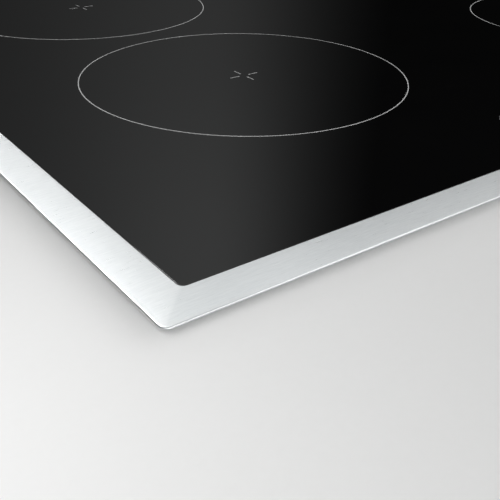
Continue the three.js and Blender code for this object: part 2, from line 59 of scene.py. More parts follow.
# ------------------------------------------------------------------ node helpers
class Graph:
    """A material's node tree with short calls for what is used below."""
    def __init__(self, name):
        self.mat = bpy.data.materials.new(name)
        self.mat.use_nodes = True
        self.t = self.mat.node_tree
        self.bsdf = self.t.nodes["Principled BSDF"]
        self.coord = None

    def node(self, kind, **props):
        n = self.t.nodes.new(kind)
        for k, v in props.items():
            setattr(n, k, v)
        return n

    def link(self, a, b):
        self.t.links.new(a, b)

    def obj(self, scale=(1, 1, 1), offset=(0, 0, 0), rot=(0, 0, 0)):
        if self.coord is None:
            self.coord = self.node("ShaderNodeTexCoord")
        m = self.node("ShaderNodeMapping")
        m.inputs["Scale"].default_value = scale
        m.inputs["Location"].default_value = offset
        m.inputs["Rotation"].default_value = rot
        self.link(self.coord.outputs["Object"], m.inputs["Vector"])
        return m.outputs["Vector"]

    def noise(self, scale=(1, 1, 1), detail=3.0, rough=0.55, distortion=0.0, offset=(0, 0, 0), rot=(0, 0, 0)):
        n = self.node("ShaderNodeTexNoise")
        n.inputs["Scale"].default_value = 1.0
        n.inputs["Detail"].default_value = detail
        n.inputs["Roughness"].default_value = rough
        n.inputs["Distortion"].default_value = distortion
        self.link(self.obj(scale, offset, rot), n.inputs["Vector"])
        return n.outputs["Fac"]

    def voronoi(self, scale=(1, 1, 1), feature="F1", offset=(0, 0, 0)):
        n = self.node("ShaderNodeTexVoronoi", feature=feature)
        n.inputs["Scale"].default_value = 1.0
        self.link(self.obj(scale, offset), n.inputs["Vector"])
        return n

    def ramp(self, fac, stops):
        r = self.node("ShaderNodeValToRGB")
        e = r.color_ramp.elements
        e[0].position, e[0].color = stops[0][0], (*stops[0][1], 1)
        e[1].position, e[1].color = stops[-1][0], (*stops[-1][1], 1)
        for p, c in stops[1:-1]:
            el = e.new(p)
            el.color = (*c, 1)
        self.link(fac, r.inputs["Fac"])
        return r.outputs["Color"]

    def spread(self, fac, a, b, lo_in=0.3, hi_in=0.7):
        m = self.node("ShaderNodeMapRange")
        m.inputs["From Min"].default_value, m.inputs["From Max"].default_value = lo_in, hi_in
        m.inputs["To Min"].default_value, m.inputs["To Max"].default_value = a, b
        self.link(fac, m.inputs["Value"])
        return m.outputs["Result"]

    def math(self, op, a, b=None):
        n = self.node("ShaderNodeMath", operation=op)
        for i, v in enumerate((a, b)):
            if v is None:
                continue
            if isinstance(v, (int, float)):
                n.inputs[i].default_value = v
            else:
                self.link(v, n.inputs[i])
        return n.outputs[0]

    def mix(self, fac, a, b):
        n = self.node("ShaderNodeMix", data_type="RGBA")
        for sock, v in ((n.inputs["Factor"], fac), (n.inputs[6], a), (n.inputs[7], b)):
            if isinstance(v, (int, float)):
                sock.default_value = v
            elif isinstance(v, tuple):
                sock.default_value = (*v, 1)
            else:
                self.link(v, sock)
        return n.outputs[2]

    def bump(self, height, strength, distance, normal=None):
        b = self.node("ShaderNodeBump")
        b.inputs["Strength"].default_value = strength
        b.inputs["Distance"].default_value = distance
        self.link(height, b.inputs["Height"])
        if normal is not None:
            self.link(normal, b.inputs["Normal"])
        return b.outputs["Normal"]

    def set(self, **kw):
        names = {"metal": "Metallic", "ior": "IOR", "coat": "Coat Weight", "coat_rough": "Coat Roughness",
                 "spec": "Specular IOR Level", "aniso": "Anisotropic", "sheen": "Sheen Weight", "sub": "Subsurface Weight",
                 "rough": "Roughness", "base": "Base Color", "normal": "Normal", "tangent": "Tangent", "alpha": "Alpha",
                 "emit": "Emission Strength", "emit_color": "Emission Color", "trans": "Transmission Weight"}
        for k, v in kw.items():
            s = self.bsdf.inputs[names[k]]
            if isinstance(v, (int, float)):
                s.default_value = v
            elif isinstance(v, tuple):
                s.default_value = (*v, 1)
            else:
                self.link(v, s)
        return self


def speckled(name, color, rough, metal=0.0, grain=(900, 900, 900), depth=0.00003, vary=0.12, cloud=25.0, strength=0.35, **extra):
    """Base colour with slow cloudiness and fine grain; the grain also drives roughness and bump."""
    g = Graph(name)
    slow = g.noise((cloud,) * 3, detail=4)
    fine = g.noise(grain, detail=3, offset=(3.1, 1.7, 0.4))
    dark = tuple(c * (1 - vary) for c in color)
    light = tuple(min(1.0, c * (1 + vary)) for c in color)
    col = g.ramp(g.math("ADD", g.math("MULTIPLY", slow, 0.65), g.math("MULTIPLY", fine, 0.35)), [(0.35, dark), (0.65, light)])
    g.set(base=col, rough=g.spread(fine, max(0.02, rough - 0.07), min(1.0, rough + 0.09)), metal=float(metal),
          normal=g.bump(fine, strength, depth), **extra)
    return g.mat


def brushed_steel(name="brushed_steel_band"):
    """Stainless sheet brushed along X: fine scratches, slow waves of tone, anisotropic gloss across the grain.
    The front and rear members carry painted shade: their colour is a shade darker than the side members', with the
    change along the mitre."""
    g = Graph(name)
    pos = g.node("ShaderNodeSeparateXYZ")
    g.link(g.node("ShaderNodeTexCoord").outputs["Object"], pos.inputs[0])
    to_side = g.math("SUBTRACT", 0.2915, g.math("ABSOLUTE", pos.outputs["X"]))
    to_front = g.math("SUBTRACT", 0.2565, g.math("ABSOLUTE", pos.outputs["Y"]))
    # painted shade: the front and rear members' colour is darkened against the side members where less light falls on
    # them; the change runs along the mitre
    member_painted_shade = g.spread(g.math("SUBTRACT", to_side, to_front), 0.0, 0.17, -0.0009, 0.0009)
    fine = g.noise((260, 3900, 3900), detail=2, rough=0.6)
    mid = g.noise((110, 1700, 1700), detail=2, rough=0.5, offset=(7, 3, 1))
    slow = g.noise((8, 30, 30), detail=3, offset=(1, 9, 4))
    grain = g.math("ADD", g.math("MULTIPLY", fine, 0.6), g.math("MULTIPLY", mid, 0.4))
    tone = g.math("ADD", g.math("MULTIPLY", grain, 0.85), g.math("MULTIPLY", slow, 0.15))
    tone = g.math("SUBTRACT", tone, member_painted_shade)
    col = g.ramp(tone, [(0.13, (0.626, 0.650, 0.659)), (0.30, (0.678, 0.702, 0.711)), (0.50, (0.746, 0.767, 0.774)), (0.70, (0.800, 0.817, 0.822))])
    g.set(base=col, metal=1.0, rough=g.spread(grain, 0.27, 0.335), aniso=0.72,
          normal=g.bump(grain, 0.105, 0.000010))
    tan = g.node("ShaderNodeTangent", direction_type="UV_MAP", uv_map="grain")
    g.link(tan.outputs["Tangent"], g.bsdf.inputs["Tangent"])
    return g.mat


def black_glass(name="black_glass_ceramic"):
    """Opaque black glass ceramic, polished; a trace of waviness and dust keeps the reflection from being a perfect mirror."""
    g = Graph(name)
    wave = g.noise((9, 9, 9), detail=2)
    dust = g.noise((1400, 1400, 1400), detail=2, offset=(5, 2, 8))
    film = g.noise((14, 20, 14), detail=4, offset=(2, 7, 3))
    col = g.ramp(film, [(0.3, (0.0007, 0.0007, 0.0008)), (0.7, (0.0012, 0.0012, 0.0013))])
    g.set(base=col, rough=g.spread(g.math("ADD", g.math("MULTIPLY", dust, 0.4), g.math("MULTIPLY", film, 0.6)), 0.022, 0.050),
          ior=1.50, normal=g.bump(wave, 0.05, 0.0002))
    return g.mat


# ------------------------------------------------------------------ mesh helpers (millimetres in, metres out)
def make(name, verts, faces, material, body="chassis", smooth=40, replace=()):
    me = bpy.data.meshes.new(name)
    me.from_pydata([(v[0] * MM, v[1] * MM, v[2] * MM) for v in verts], [], faces)
    me.validate()
    bm = bmesh.new()
    bm.from_mesh(me)
    bmesh.ops.remove_doubles(bm, verts=bm.verts, dist=1e-7)
    bmesh.ops.recalc_face_normals(bm, faces=bm.faces)
    bm.to_mesh(me)
    bm.free()
    return finish_mesh(name, me, material, body, smooth, replace)


def finish_mesh(name, me, material, body="chassis", smooth=40, replace=()):
    me.name = name
    ob = bpy.data.objects.new(name, me)
    scene.collection.objects.link(ob)
    if material is not None:
        me.materials.clear()
        me.materials.append(material)
    if smooth:
        me.shade_smooth()
        me.set_sharp_from_angle(angle=math.radians(smooth))
    if body:
        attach(ob, body)
        if replace:
            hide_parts(*([replace] if isinstance(replace, str) else replace))
    return ob


def round_rect(hx, hy, r, n=12, cx=0.0, cy=0.0, hold=0.4):
    """Rounded rectangle; one extra point on each straight side by each arc keeps the long sides' normals straight."""
    pts = []
    for sx, sy, a0 in ((1, 1, 0), (-1, 1, 90), (-1, -1, 180), (1, -1, 270)):
        arc_pts = []
        for i in range(n + 1):
            a = math.radians(a0 + 90 * i / n)
            arc_pts.append((cx + sx * (hx - r) + r * math.cos(a), cy + sy * (hy - r) + r * math.sin(a)))
        t0 = (-math.sin(math.radians(a0)), math.cos(math.radians(a0)))
        t1 = (-math.sin(math.radians(a0 + 90)), math.cos(math.radians(a0 + 90)))
        if hold:
            arc_pts.insert(0, (arc_pts[0][0] - t0[0] * hold, arc_pts[0][1] - t0[1] * hold))
            arc_pts.append((arc_pts[-1][0] + t1[0] * hold, arc_pts[-1][1] + t1[1] * hold))
        pts += arc_pts
    return pts


def arc(cx, cy, r, a0, a1, n):
    return [(cx + r * math.cos(math.radians(a0 + (a1 - a0) * i / n)), cy + r * math.sin(math.radians(a0 + (a1 - a0) * i / n))) for i in range(n + 1)]


def loft(loops, closed_profile=False, caps=True):
    """Loops of equal length, joined in turn; with caps the first and last are filled, or the last joins the first."""
    m = len(loops[0])
    verts = [p for lp in loops for p in lp]
    faces = []
    k = len(loops)
    for i in range(k if closed_profile else k - 1):
        for j in range(m):
            a, b = i * m + j, i * m + (j + 1) % m
            c, d = ((i + 1) % k) * m + j, ((i + 1) % k) * m + (j + 1) % m
            faces.append((a, b, d, c))
    if caps and not closed_profile:
        faces.append(tuple(reversed(range(m))))
        faces.append(tuple(range((k - 1) * m, k * m)))
    return verts, faces


def rect_ring(profile, hx, hy, n=12):
    return loft([[(x, y, z) for x, y in round_rect(hx - off, hy - off, max(r, 0.05), n)] for off, z, r in profile], closed_profile=True)


def join_meshes(name, obs):
    """One object out of several, which lie side by side."""
    dg = bpy.context.evaluated_depsgraph_get()
    bm = bmesh.new()
    for o in obs:
        tmp = o.data.copy()
        tmp.transform(o.matrix_world)
        bm.from_mesh(tmp)
        bpy.data.meshes.remove(tmp)
    me = bpy.data.meshes.new(name)
    bm.to_mesh(me)
    bm.free()
    return me


def boolean(ob_mesh, cutter_mesh, op="DIFFERENCE"):
    """Exact boolean of two meshes, in metres; returns a new mesh."""
    a = bpy.data.objects.new("tmp_a", ob_mesh)
    b = bpy.data.objects.new("tmp_b", cutter_mesh)
    scene.collection.objects.link(a)
    scene.collection.objects.link(b)
    mod = a.modifiers.new("b", "BOOLEAN")
    mod.operation, mod.object, mod.solver = op, b, "EXACT"
    dg = bpy.context.evaluated_depsgraph_get()
    me = bpy.data.meshes.new_from_object(a.evaluated_get(dg))
    bpy.data.objects.remove(a)
    bpy.data.objects.remove(b)
    return me


def mesh_of(verts, faces):
    me = bpy.data.meshes.new("tmp")
    me.from_pydata([(v[0] * MM, v[1] * MM, v[2] * MM) for v in verts], [], faces)
    bm = bmesh.new()
    bm.from_mesh(me)
    bmesh.ops.remove_doubles(bm, verts=bm.verts, dist=1e-7)
    bmesh.ops.recalc_face_normals(bm, faces=bm.faces)
    bm.to_mesh(me)
    bm.free()
    return me


def prism(points, z0, z1):
    return loft([[(x, y, z0) for x, y in points], [(x, y, z1) for x, y in points]])


def add_uv(ob, name, fn):
    me = ob.data
    uv = me.uv_layers.new(name=name)
    for l in me.loops:
        uv.data[l.index].uv = fn(me.vertices[l.vertex_index].co)


# ------------------------------------------------------------------ surround frame
STEEL = brushed_steel()
GLASS = black_glass()

prof = []
T = TOP
edge = T - 0.42
RI = 0.14                                # rounding of the inner edge
# outer lip: lower edge, vertical face, rolled top edge
prof += [(0.22, T - 1.2, 3.1), (0.07, T - 1.17, 3.15), (0.0, T - 1.08, 3.2)]
R = 0.55
for i in range(9):
    a = math.radians(180 - 88 * i / 8)
    prof.append((R + R * math.cos(a), edge - R + R * math.sin(a), 3.2 - 0.35 * i / 8))
# shallow slope of the band
zr = prof[-1][1]
for t in (0.012, 0.06, 0.12, 0.25, 0.4, 0.55, 0.7, 0.85, 0.95, 0.99, 1.0):
    o = R + 0.02 + (BAND - RI - R - 0.02) * t
    prof.append((o, zr + (T - zr) * t, 2.85 + (2.65 - 2.85) * t))
for i in range(1, 7):
    a = math.radians(90 - 90 * i / 6)
    prof.append((BAND - RI + RI * math.cos(a), T - RI + RI * math.sin(a), 2.65 - 0.05 * i / 6))
prof += [(BAND, 50.4, 2.6), (BAND + 0.15, 50.05, 2.7), (BAND + 0.5, 49.9, 2.9)]
prof += [(26.7, 49.9, 3.0), (27.0, 49.7, 3.0), (27.0, 49.1, 3.0), (26.7, 48.9, 3.0)]
prof += [(BAND - 0.2, 48.9, 3.2), (BAND - 0.8, 49.15, 3.2), (BAND - 1.0, 49.7, 3.2), (BAND - 1.0, T - 1.5, 3.2), (BAND - 1.3, T - 1.25, 3.3)]
prof += [(1.3, edge - 0.95, 3.4), (1.0, edge - 0.75, 3.4), (0.75, T - 1.17, 3.6)]
v, f = rect_ring(prof, HX, HY, 24)
ring_me = mesh_of(v, f)
tabs = []
for sx in (-1, 1):
    for sy in (-1, 1):
        y1 = 237.1 if sy > 0 else -235.6
        x = sx * 190
        outline = [(x - 10, 49.4), (x + 10, 49.4), (x + 10, 40.5)] + arc(x + 7, 40.5, 3, 0, -90, 6) + arc(x - 7, 40.5, 3, -90, -180, 6) + [(x - 10, 40.5)]
        hole = arc(x, 42, 2.3, 0, 360, 24)[:-1]
        vv, ff = loft([[(px, y1 - 1.5, pz) for px, pz in outline], [(px, y1, pz) for px, pz in outline]])
        tab = mesh_of(vv, ff)
        hv, hf = loft([[(px, y1 - 3, pz) for px, pz in hole], [(px, y1 + 2, pz) for px, pz in hole]])
        tabs.append(boolean(tab, mesh_of(hv, hf)))
bm = bmesh.new()
bm.from_mesh(ring_me)
for t in tabs:
    bm.from_mesh(t)
me = bpy.data.meshes.new("surround_frame")
bm.to_mesh(me)
bm.free()
surround = finish_mesh("surround_frame", me, STEEL, smooth=50, replace="trim_frame")
# the grain runs along X on all four sides; U runs across it, which is the way the gloss spreads
add_uv(surround, "grain", lambda c: (c.y * 2 + c.z * 1.3, c.x * 2 + c.z * 0.9))

# ------------------------------------------------------------------ glass
gx, gy = ghi.x / MM, ghi.y / MM
b = 0.12
loops = []
zb = GLASS_TOP - 4.0
for off, z in [(b + 0.1, zb), (b, zb), (b * 0.3, zb + b * 0.3), (0.0, zb + b), (0.0, GLASS_TOP - b)] + \
              [(b - b * math.cos(math.radians(90 * i / 6)), GLASS_TOP - b + b * math.sin(math.radians(90 * i / 6))) for i in range(1, 7)] + [(b + 0.05, GLASS_TOP)]:
    loops.append([(x, y, z) for x, y in round_rect(gx - off, gy - off, 2.3 - off * 0.5, 16)])
v, f = loft(loops)
glass = make("glass_ceramic_plate", v, f, GLASS, smooth=35, replace="glass_ceramic_panel")

# ------------------------------------------------------------------ plain materials for everything else, refined below
BY_SLOT = {
    "silicone": speckled("black_silicone", (0.025, 0.025, 0.026), 0.45, grain=(500,) * 3),
    "foam": speckled("foam_seal", (0.055, 0.055, 0.057), 0.92, grain=(2600,) * 3, depth=0.0002, strength=0.8),
    "galvanised_steel": None,
    "aluminium_sheet": speckled("aluminium_sheet", (0.72, 0.73, 0.74), 0.36, 1.0, grain=(60, 1800, 1800), depth=0.00001),
    "aluminium_extrusion": speckled("aluminium_extrusion", (0.66, 0.67, 0.68), 0.42, 1.0, grain=(1500, 40, 1500), depth=0.00002),
    "coil_former": speckled("glass_filled_plastic", (0.045, 0.043, 0.040), 0.62, grain=(1300,) * 3, depth=0.00005),
    "copper_litz": speckled("enamelled_copper", (0.50, 0.19, 0.065), 0.34, 0.85, grain=(2400,) * 3),
    "mica": speckled("mica_mat", (0.62, 0.56, 0.43), 0.78, grain=(260, 260, 2000), vary=0.2, depth=0.0001),
    "ceramic": speckled("ceramic", (0.78, 0.75, 0.68), 0.45, grain=(700,) * 3),
    "circuit_board": speckled("solder_resist", (0.012, 0.085, 0.035), 0.34, grain=(1500,) * 3, spec=0.5),
    "black_plastic": speckled("black_plastic", (0.022, 0.022, 0.024), 0.48, grain=(2200,) * 3, depth=0.00004),
    "dark_plastic": speckled("dark_plastic", (0.045, 0.046, 0.050), 0.42, grain=(1800,) * 3, depth=0.00003),
    "white_plastic": speckled("white_plastic", (0.74, 0.74, 0.71), 0.42, grain=(1600,) * 3, depth=0.00002),
    "ribbon": speckled("ribbon_sleeve", (0.42, 0.43, 0.45), 0.5, grain=(900, 60, 60)),
    "rubber": speckled("black_rubber", (0.022, 0.022, 0.022), 0.62, grain=(1500,) * 3, depth=0.00004),
    "cable_sheath": speckled("cable_sheath", (0.050, 0.050, 0.055), 0.50, grain=(1700,) * 3, depth=0.00004),
    "zinc_screw": speckled("zinc_plated", (0.62, 0.64, 0.66), 0.30, 1.0, grain=(1600,) * 3),
    "spring_steel": speckled("spring_steel", (0.58, 0.60, 0.62), 0.26, 1.0, grain=(900, 3000, 300)),
    "ferrite": speckled("ferrite", (0.040, 0.041, 0.043), 0.55, grain=(1200,) * 3, depth=0.00006),
}


def galvanised():
    g = Graph("galvanised_sheet")
    v = g.voronoi((150, 150, 150))
    slow = g.noise((18, 18, 18), detail=4)
    fine = g.noise((1600, 1600, 1600), detail=2)
    t = g.math("ADD", g.math("MULTIPLY", v.outputs["Color"], 0.55), g.math("MULTIPLY", slow, 0.45))
    g.set(base=g.ramp(t, [(0.2, (0.44, 0.46, 0.475)), (0.5, (0.54, 0.56, 0.575)), (0.85, (0.66, 0.68, 0.69))]),
          rough=g.spread(t, 0.34, 0.52, 0.2, 0.8), metal=1.0, normal=g.bump(fine, 0.25, 0.00002))
    return g.mat


BY_SLOT["galvanised_steel"] = galvanised()
for s in frame["record"]["subparts"]:
    m = BY_SLOT.get(s["material_slot"])
    ob = NODES[s["node"]]
    if m is not None:
        ob.data.materials.clear()
        ob.data.materials.append(m)

# ------------------------------------------------------------------ more mesh helpers
def bx(node):
    a, b2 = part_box(node)
    return a.x / MM, b2.x / MM, a.y / MM, b2.y / MM, a.z / MM, b2.z / MM


def mid(node):
    x0, x1, y0, y1, z0, z1 = bx(node)
    return (x0 + x1) / 2, (y0 + y1) / 2


def lathe_mesh(profile, x=0.0, y=0.0, seg=48):
    """Profile of (r, z) from bottom to top round a vertical axis; closes on the axis or on itself."""
    verts, faces, rows = [], [], []
    closed = profile[0][0] > 1e-6
    for r, z in profile:
        if r < 1e-6:
            rows.append([len(verts)])
            verts.append((x, y, z))
        else:
            rows.append(list(range(len(verts), len(verts) + seg)))
            verts += [(x + r * math.cos(2 * math.pi * i / seg), y + r * math.sin(2 * math.pi * i / seg), z) for i in range(seg)]
    pairs = list(zip(rows, rows[1:])) + ([(rows[-1], rows[0])] if closed else [])
    for a, b2 in pairs:
        for i in range(seg):
            j = (i + 1) % seg
            if len(a) == 1 and len(b2) == 1:
                continue
            if len(a) == 1:
                faces.append((a[0], b2[j], b2[i]))
            elif len(b2) == 1:
                faces.append((a[i], a[j], b2[0]))
            else:
                faces.append((a[i], a[j], b2[j], b2[i]))
    return mesh_of(verts, faces)


def frames_along(pts, closed=False):
    """Parallel-transported normals along a polyline of Vectors."""
    n = len(pts)
    tans = []
    for i in range(n):
        a, b2 = pts[max(0, i - 1)], pts[min(n - 1, i + 1)]
        tans.append((b2 - a).normalized())
    ref = Vector((0, 0, 1)) if abs(tans[0].z) < 0.9 else Vector((1, 0, 0))
    nrm = (ref - tans[0] * ref.dot(tans[0])).normalized()
    out2 = []
    for i in range(n):
        if i:
            q = tans[i - 1].rotation_difference(tans[i])
            nrm = (q @ nrm).normalized()
            nrm = (nrm - tans[i] * nrm.dot(tans[i])).normalized()
        out2.append((tans[i], nrm, tans[i].cross(nrm)))
    return out2


def sweep_mesh(pts, section, twist=0.0):
    """A closed section, given as (u, v) round the path, swept along points in mm; ends capped."""
    pts = [Vector(p) for p in pts]
    fr = frames_along(pts)
    loops = []
    for i, p in enumerate(pts):
        _, nn, bb = fr[i]
        a = twist * i
        ca, sa = math.cos(a), math.sin(a)
        loops.append([tuple(p + nn * (u * ca - w2 * sa) + bb * (u * sa + w2 * ca)) for u, w2 in section])
    vv, ff = loft(loops)
    return mesh_of(vv, ff)


def circle(r, n=12):
    return [(r * math.cos(2 * math.pi * i / n), r * math.sin(2 * math.pi * i / n)) for i in range(n)]


def smooth_path(ctrl, n):
    """Centripetal Catmull-Rom through the control points, n points in all."""
    P = [Vector(p) for p in ctrl]
    P = [P[0] * 2 - P[1]] + P + [P[-1] * 2 - P[-2]]
    segs = len(P) - 3
    out2 = []
    for k in range(n):
        s = k / (n - 1) * segs
        i = min(int(s), segs - 1)
        t = s - i
        p0, p1, p2, p3 = P[i:i + 4]
        t0 = 0.0
        t1 = t0 + max((p1 - p0).length, 1e-6) ** 0.5
        t2 = t1 + max((p2 - p1).length, 1e-6) ** 0.5
        t3 = t2 + max((p3 - p2).length, 1e-6) ** 0.5
        u = t1 + (t2 - t1) * t
        a1 = p0 * ((t1 - u) / (t1 - t0)) + p1 * ((u - t0) / (t1 - t0))
        a2 = p1 * ((t2 - u) / (t2 - t1)) + p2 * ((u - t1) / (t2 - t1))
        a3 = p2 * ((t3 - u) / (t3 - t2)) + p3 * ((u - t2) / (t3 - t2))
        b1 = a1 * ((t2 - u) / (t2 - t0)) + a2 * ((u - t0) / (t2 - t0))
        b2 = a2 * ((t3 - u) / (t3 - t1)) + a3 * ((u - t1) / (t3 - t1))
        out2.append(b1 * ((t2 - u) / (t2 - t1)) + b2 * ((u - t1) / (t2 - t1)))
    return out2


def soft_box(x0, x1, y0, y1, z0, z1, r=0.5, seg=2):
    """A box with rounded edges."""
    bm2 = bmesh.new()
    bmesh.ops.create_cube(bm2, size=1.0)
    for v2 in bm2.verts:
        v2.co = Vector(((x0 + x1) / 2 + v2.co.x * (x1 - x0), (y0 + y1) / 2 + v2.co.y * (y1 - y0), (z0 + z1) / 2 + v2.co.z * (z1 - z0))) * MM
    r = min(r, 0.45 * min(x1 - x0, y1 - y0, z1 - z0))
    if r > 0:
        bmesh.ops.bevel(bm2, geom=bm2.edges[:], offset=r * MM, segments=seg, affect="EDGES", profile=0.5)
    me2 = bpy.data.meshes.new("tmp")
    bm2.to_mesh(me2)
    bm2.free()
    return me2


def merge(name, meshes):
    bm2 = bmesh.new()
    for m2 in meshes:
        bm2.from_mesh(m2)
        bpy.data.meshes.remove(m2)
    me2 = bpy.data.meshes.new(name)
    bm2.to_mesh(me2)
    bm2.free()
    return me2


def bevelled(me2, width, seg=2, angle=35):
    """Rounds a mesh's sharp edges."""
    o = bpy.data.objects.new("tmp_bevel", me2)
    scene.collection.objects.link(o)
    mod = o.modifiers.new("b", "BEVEL")
    mod.width, mod.segments, mod.limit_method, mod.angle_limit = width * MM, seg, "ANGLE", math.radians(angle)
    mod.harden_normals = False
    dg = bpy.context.evaluated_depsgraph_get()
    out2 = bpy.data.meshes.new_from_object(o.evaluated_get(dg))
    bpy.data.objects.remove(o)
    return out2


def move(me2, matrix):
    me2.transform(matrix)
    return me2


def place(me2, axis, at):
    """Stands a mesh made round +Z so that +Z points along axis, at a point in mm."""
    q = Vector((0, 0, 1)).rotation_difference(Vector(axis))
    me2.transform(Matrix.Translation(Vector(at) * MM) @ q.to_matrix().to_4x4())
    return me2


def capsule(x0, x1, y, half, n=6):
    """Outline of a slot along X with round ends."""
    return arc(x1 - half, y, half, -90, 90, n) + arc(x0 + half, y, half, 90, 270, n)


def add(name, me2, key, replace=(), body="chassis", smooth=40):
    return finish_mesh(name, me2, EXTRA.get(key) or BY_SLOT[key], body, smooth, replace)


EXTRA = {
    "brass": speckled("brass", (0.62, 0.42, 0.13), 0.30, 1.0, grain=(1500,) * 3),
    "tin": speckled("tinned_joints", (0.60, 0.61, 0.62), 0.36, 1.0, grain=(1800,) * 3),
    "film_box": speckled("film_capacitor_case", (0.50, 0.045, 0.030), 0.36, grain=(1500,) * 3, depth=0.00002),
    "blue_box": speckled("mains_capacitor_case", (0.030, 0.105, 0.30), 0.36, grain=(1500,) * 3, depth=0.00002),
    "relay": speckled("relay_case", (0.030, 0.031, 0.034), 0.34, grain=(1700,) * 3),
    "grey_part": speckled("grey_case", (0.30, 0.31, 0.32), 0.45, grain=(1700,) * 3),
    "beige": speckled("connector_housing", (0.72, 0.68, 0.57), 0.44, grain=(1700,) * 3),
    "chip": speckled("moulded_package", (0.018, 0.018, 0.019), 0.52, grain=(2600,) * 3, depth=0.00004),
    "wire_brown": speckled("wire_brown", (0.16, 0.060, 0.025), 0.42, grain=(1500,) * 3),
    "wire_blue": speckled("wire_blue", (0.025, 0.085, 0.32), 0.42, grain=(1500,) * 3),
    "wire_green": speckled("wire_green", (0.12, 0.32, 0.045), 0.42, grain=(1500,) * 3),
    "print_grey": speckled("fired_print", (0.52, 0.52, 0.52), 0.42, grain=(3000,) * 3, depth=0.00001),
}


def litz():
    """Twisted bundle of enamelled strands: diagonal strand ridges in the sweep's own coordinates, with painted shade in
    the grooves between them.
    """
    g = Graph("litz_wire")
    uvn = g.node("ShaderNodeUVMap", uv_map="along")
    mp = g.node("ShaderNodeMapping")
    mp.inputs["Scale"].default_value = (1.0, 1.0, 1.0)
    g.link(uvn.outputs["UV"], mp.inputs["Vector"])
    wv = g.node("ShaderNodeTexWave", wave_type="BANDS", bands_direction="DIAGONAL")
    wv.inputs["Scale"].default_value = 1.6
    wv.inputs["Distortion"].default_value = 0.6
    wv.inputs["Detail"].default_value = 2.0
    g.link(mp.outputs["Vector"], wv.inputs["Vector"])
    slow = g.noise((60, 60, 60), detail=3)
    # painted shade: the strand bands make the colour darker in the grooves between strands and lighter on their crests,
    # where the bump dips and rises; the slow noise adds random tone
    t = g.math("ADD", g.math("MULTIPLY", wv.outputs["Fac"], 0.6), g.math("MULTIPLY", slow, 0.4))
    g.set(base=g.ramp(t, [(0.15, (0.22, 0.060, 0.018)), (0.5, (0.50, 0.17, 0.050)), (0.85, (0.68, 0.30, 0.11))]),
          metal=0.85, rough=g.spread(t, 0.24, 0.42, 0.2, 0.8), normal=g.bump(wv.outputs["Fac"], 0.6, 0.00012))
    return g.mat


EXTRA["litz"] = litz()

ZONES = ("front_left", "rear_left", "front_right", "rear_right")

# ------------------------------------------------------------------ seals
prof2 = [(3.9, 51.0, 4), (3.5, 51.35, 4), (3.42, 52.0, 4), (3.6, 52.7, 4), (3.95, 53.0, 4), (10.6, 53.0, 3), (11.0, 52.65, 3), (11.0, 51.4, 3), (10.6, 51.0, 3)]
v, f = rect_ring(prof2, HX, HY, 10)
add("worktop_foam_seal", mesh_of(v, f), "foam", "worktop_seal")
prof2 = [(16.8, 49.93, 3), (16.5, 50.1, 3), (16.8, 50.27, 3), (24.2, 50.27, 3), (24.5, 50.1, 3), (24.2, 49.93, 3)]
v, f = rect_ring(prof2, HX, HY, 10)
add("glass_bond_bead", mesh_of(v, f), "silicone", "glass_bond_seal")
# dark joint filling between the glass edge and the frame
prof2 = [(15.03, 51.0, 2.58), (15.03, 54.22, 2.58), (15.1, 54.26, 2.5), (15.25, 54.26, 2.4), (15.32, 54.22, 2.3), (15.32, 51.0, 2.3)]
v, f = rect_ring(prof2, HX, HY, 16)
add("glass_joint", mesh_of(v, f), "silicone", smooth=50)

# ------------------------------------------------------------------ base housing: folded sheet tray with bend radii, grilles, ribs and stand-offs
hx0, hx1, hy0, hy1, hz0, hz1 = bx("base_housing")
hx, hy = hx1, hy1
outer_loops = [(0.0, hz1, 3.0), (0.0, 2.4, 3.0)] + \
    [(2.2 - 2.2 * math.cos(math.radians(a)), 2.2 - 2.2 * math.sin(math.radians(a)), 3.0) for a in (15, 30, 45, 60, 75)] + [(2.2, 0.0, 3.0), (2.6, 0.0, 3.0)]
inner_loops = [(2.7, 1.0, 2.2), (2.3, 1.0, 2.2)] + \
    [(2.3 - 1.3 * math.sin(math.radians(a)), 2.3 - 1.3 * math.cos(math.radians(a)), 2.2) for a in (25, 50, 70)] + [(1.0, 2.5, 2.0), (1.0, hz1, 2.0)]
lo_loops = [[(x, y, z) for x, y in round_rect(hx - off, hy - off, r, 6)] for off, z, r in outer_loops]
li_loops = [[(x, y, z) for x, y in round_rect(hx - off, hy - off, r, 6)] for off, z, r in inner_loops]
m0 = len(lo_loops[0])
verts = [p for lp in lo_loops for p in lp] + [p for lp in li_loops for p in lp]
faces = []
ka, kb = len(lo_loops), len(li_loops)
for base_i, k in ((0, ka), (ka, kb)):
    for i in range(k - 1):
        for j in range(m0):
            a, b2 = (base_i + i) * m0 + j, (base_i + i) * m0 + (j + 1) % m0
            faces.append((a, b2, b2 + m0, a + m0))
faces.append(tuple((ka - 1) * m0 + j for j in range(m0)))
faces.append(tuple(ka * m0 + j for j in reversed(range(m0))))
for j in range(m0):                                       # rim between the outer and the inner wall
    faces.append((j, (ka + kb - 1) * m0 + j, (ka + kb - 1) * m0 + (j + 1) % m0, (j + 1) % m0))
house = mesh_of(verts, faces)
cut = []
FANS = {"left": (-140.0, 165.0), "right": (60.0, 165.0)}
for fx, fy in FANS.values():
    for i in range(-4, 5):
        y = fy + i * 7
        half = math.sqrt(36 ** 2 - (i * 7) ** 2)
        for a, b2 in ((fx - half, fx - 2), (fx + 2, fx + half)):
            cut.append(mesh_of(*prism(capsule(a, b2, y, 1.7), -1, 2)))
for i in range(18):
    x = (i - 8.5) * 18
    pts3 = arc(x, 26 - 1.7, 1.7, 0, 180, 6) + arc(x, 8 + 1.7, 1.7, 180, 360, 6)
    cut.append(mesh_of(*loft([[(px, -hy - 1, pz) for px, pz in pts3], [(px, -hy + 2, pz) for px, pz in pts3]])))
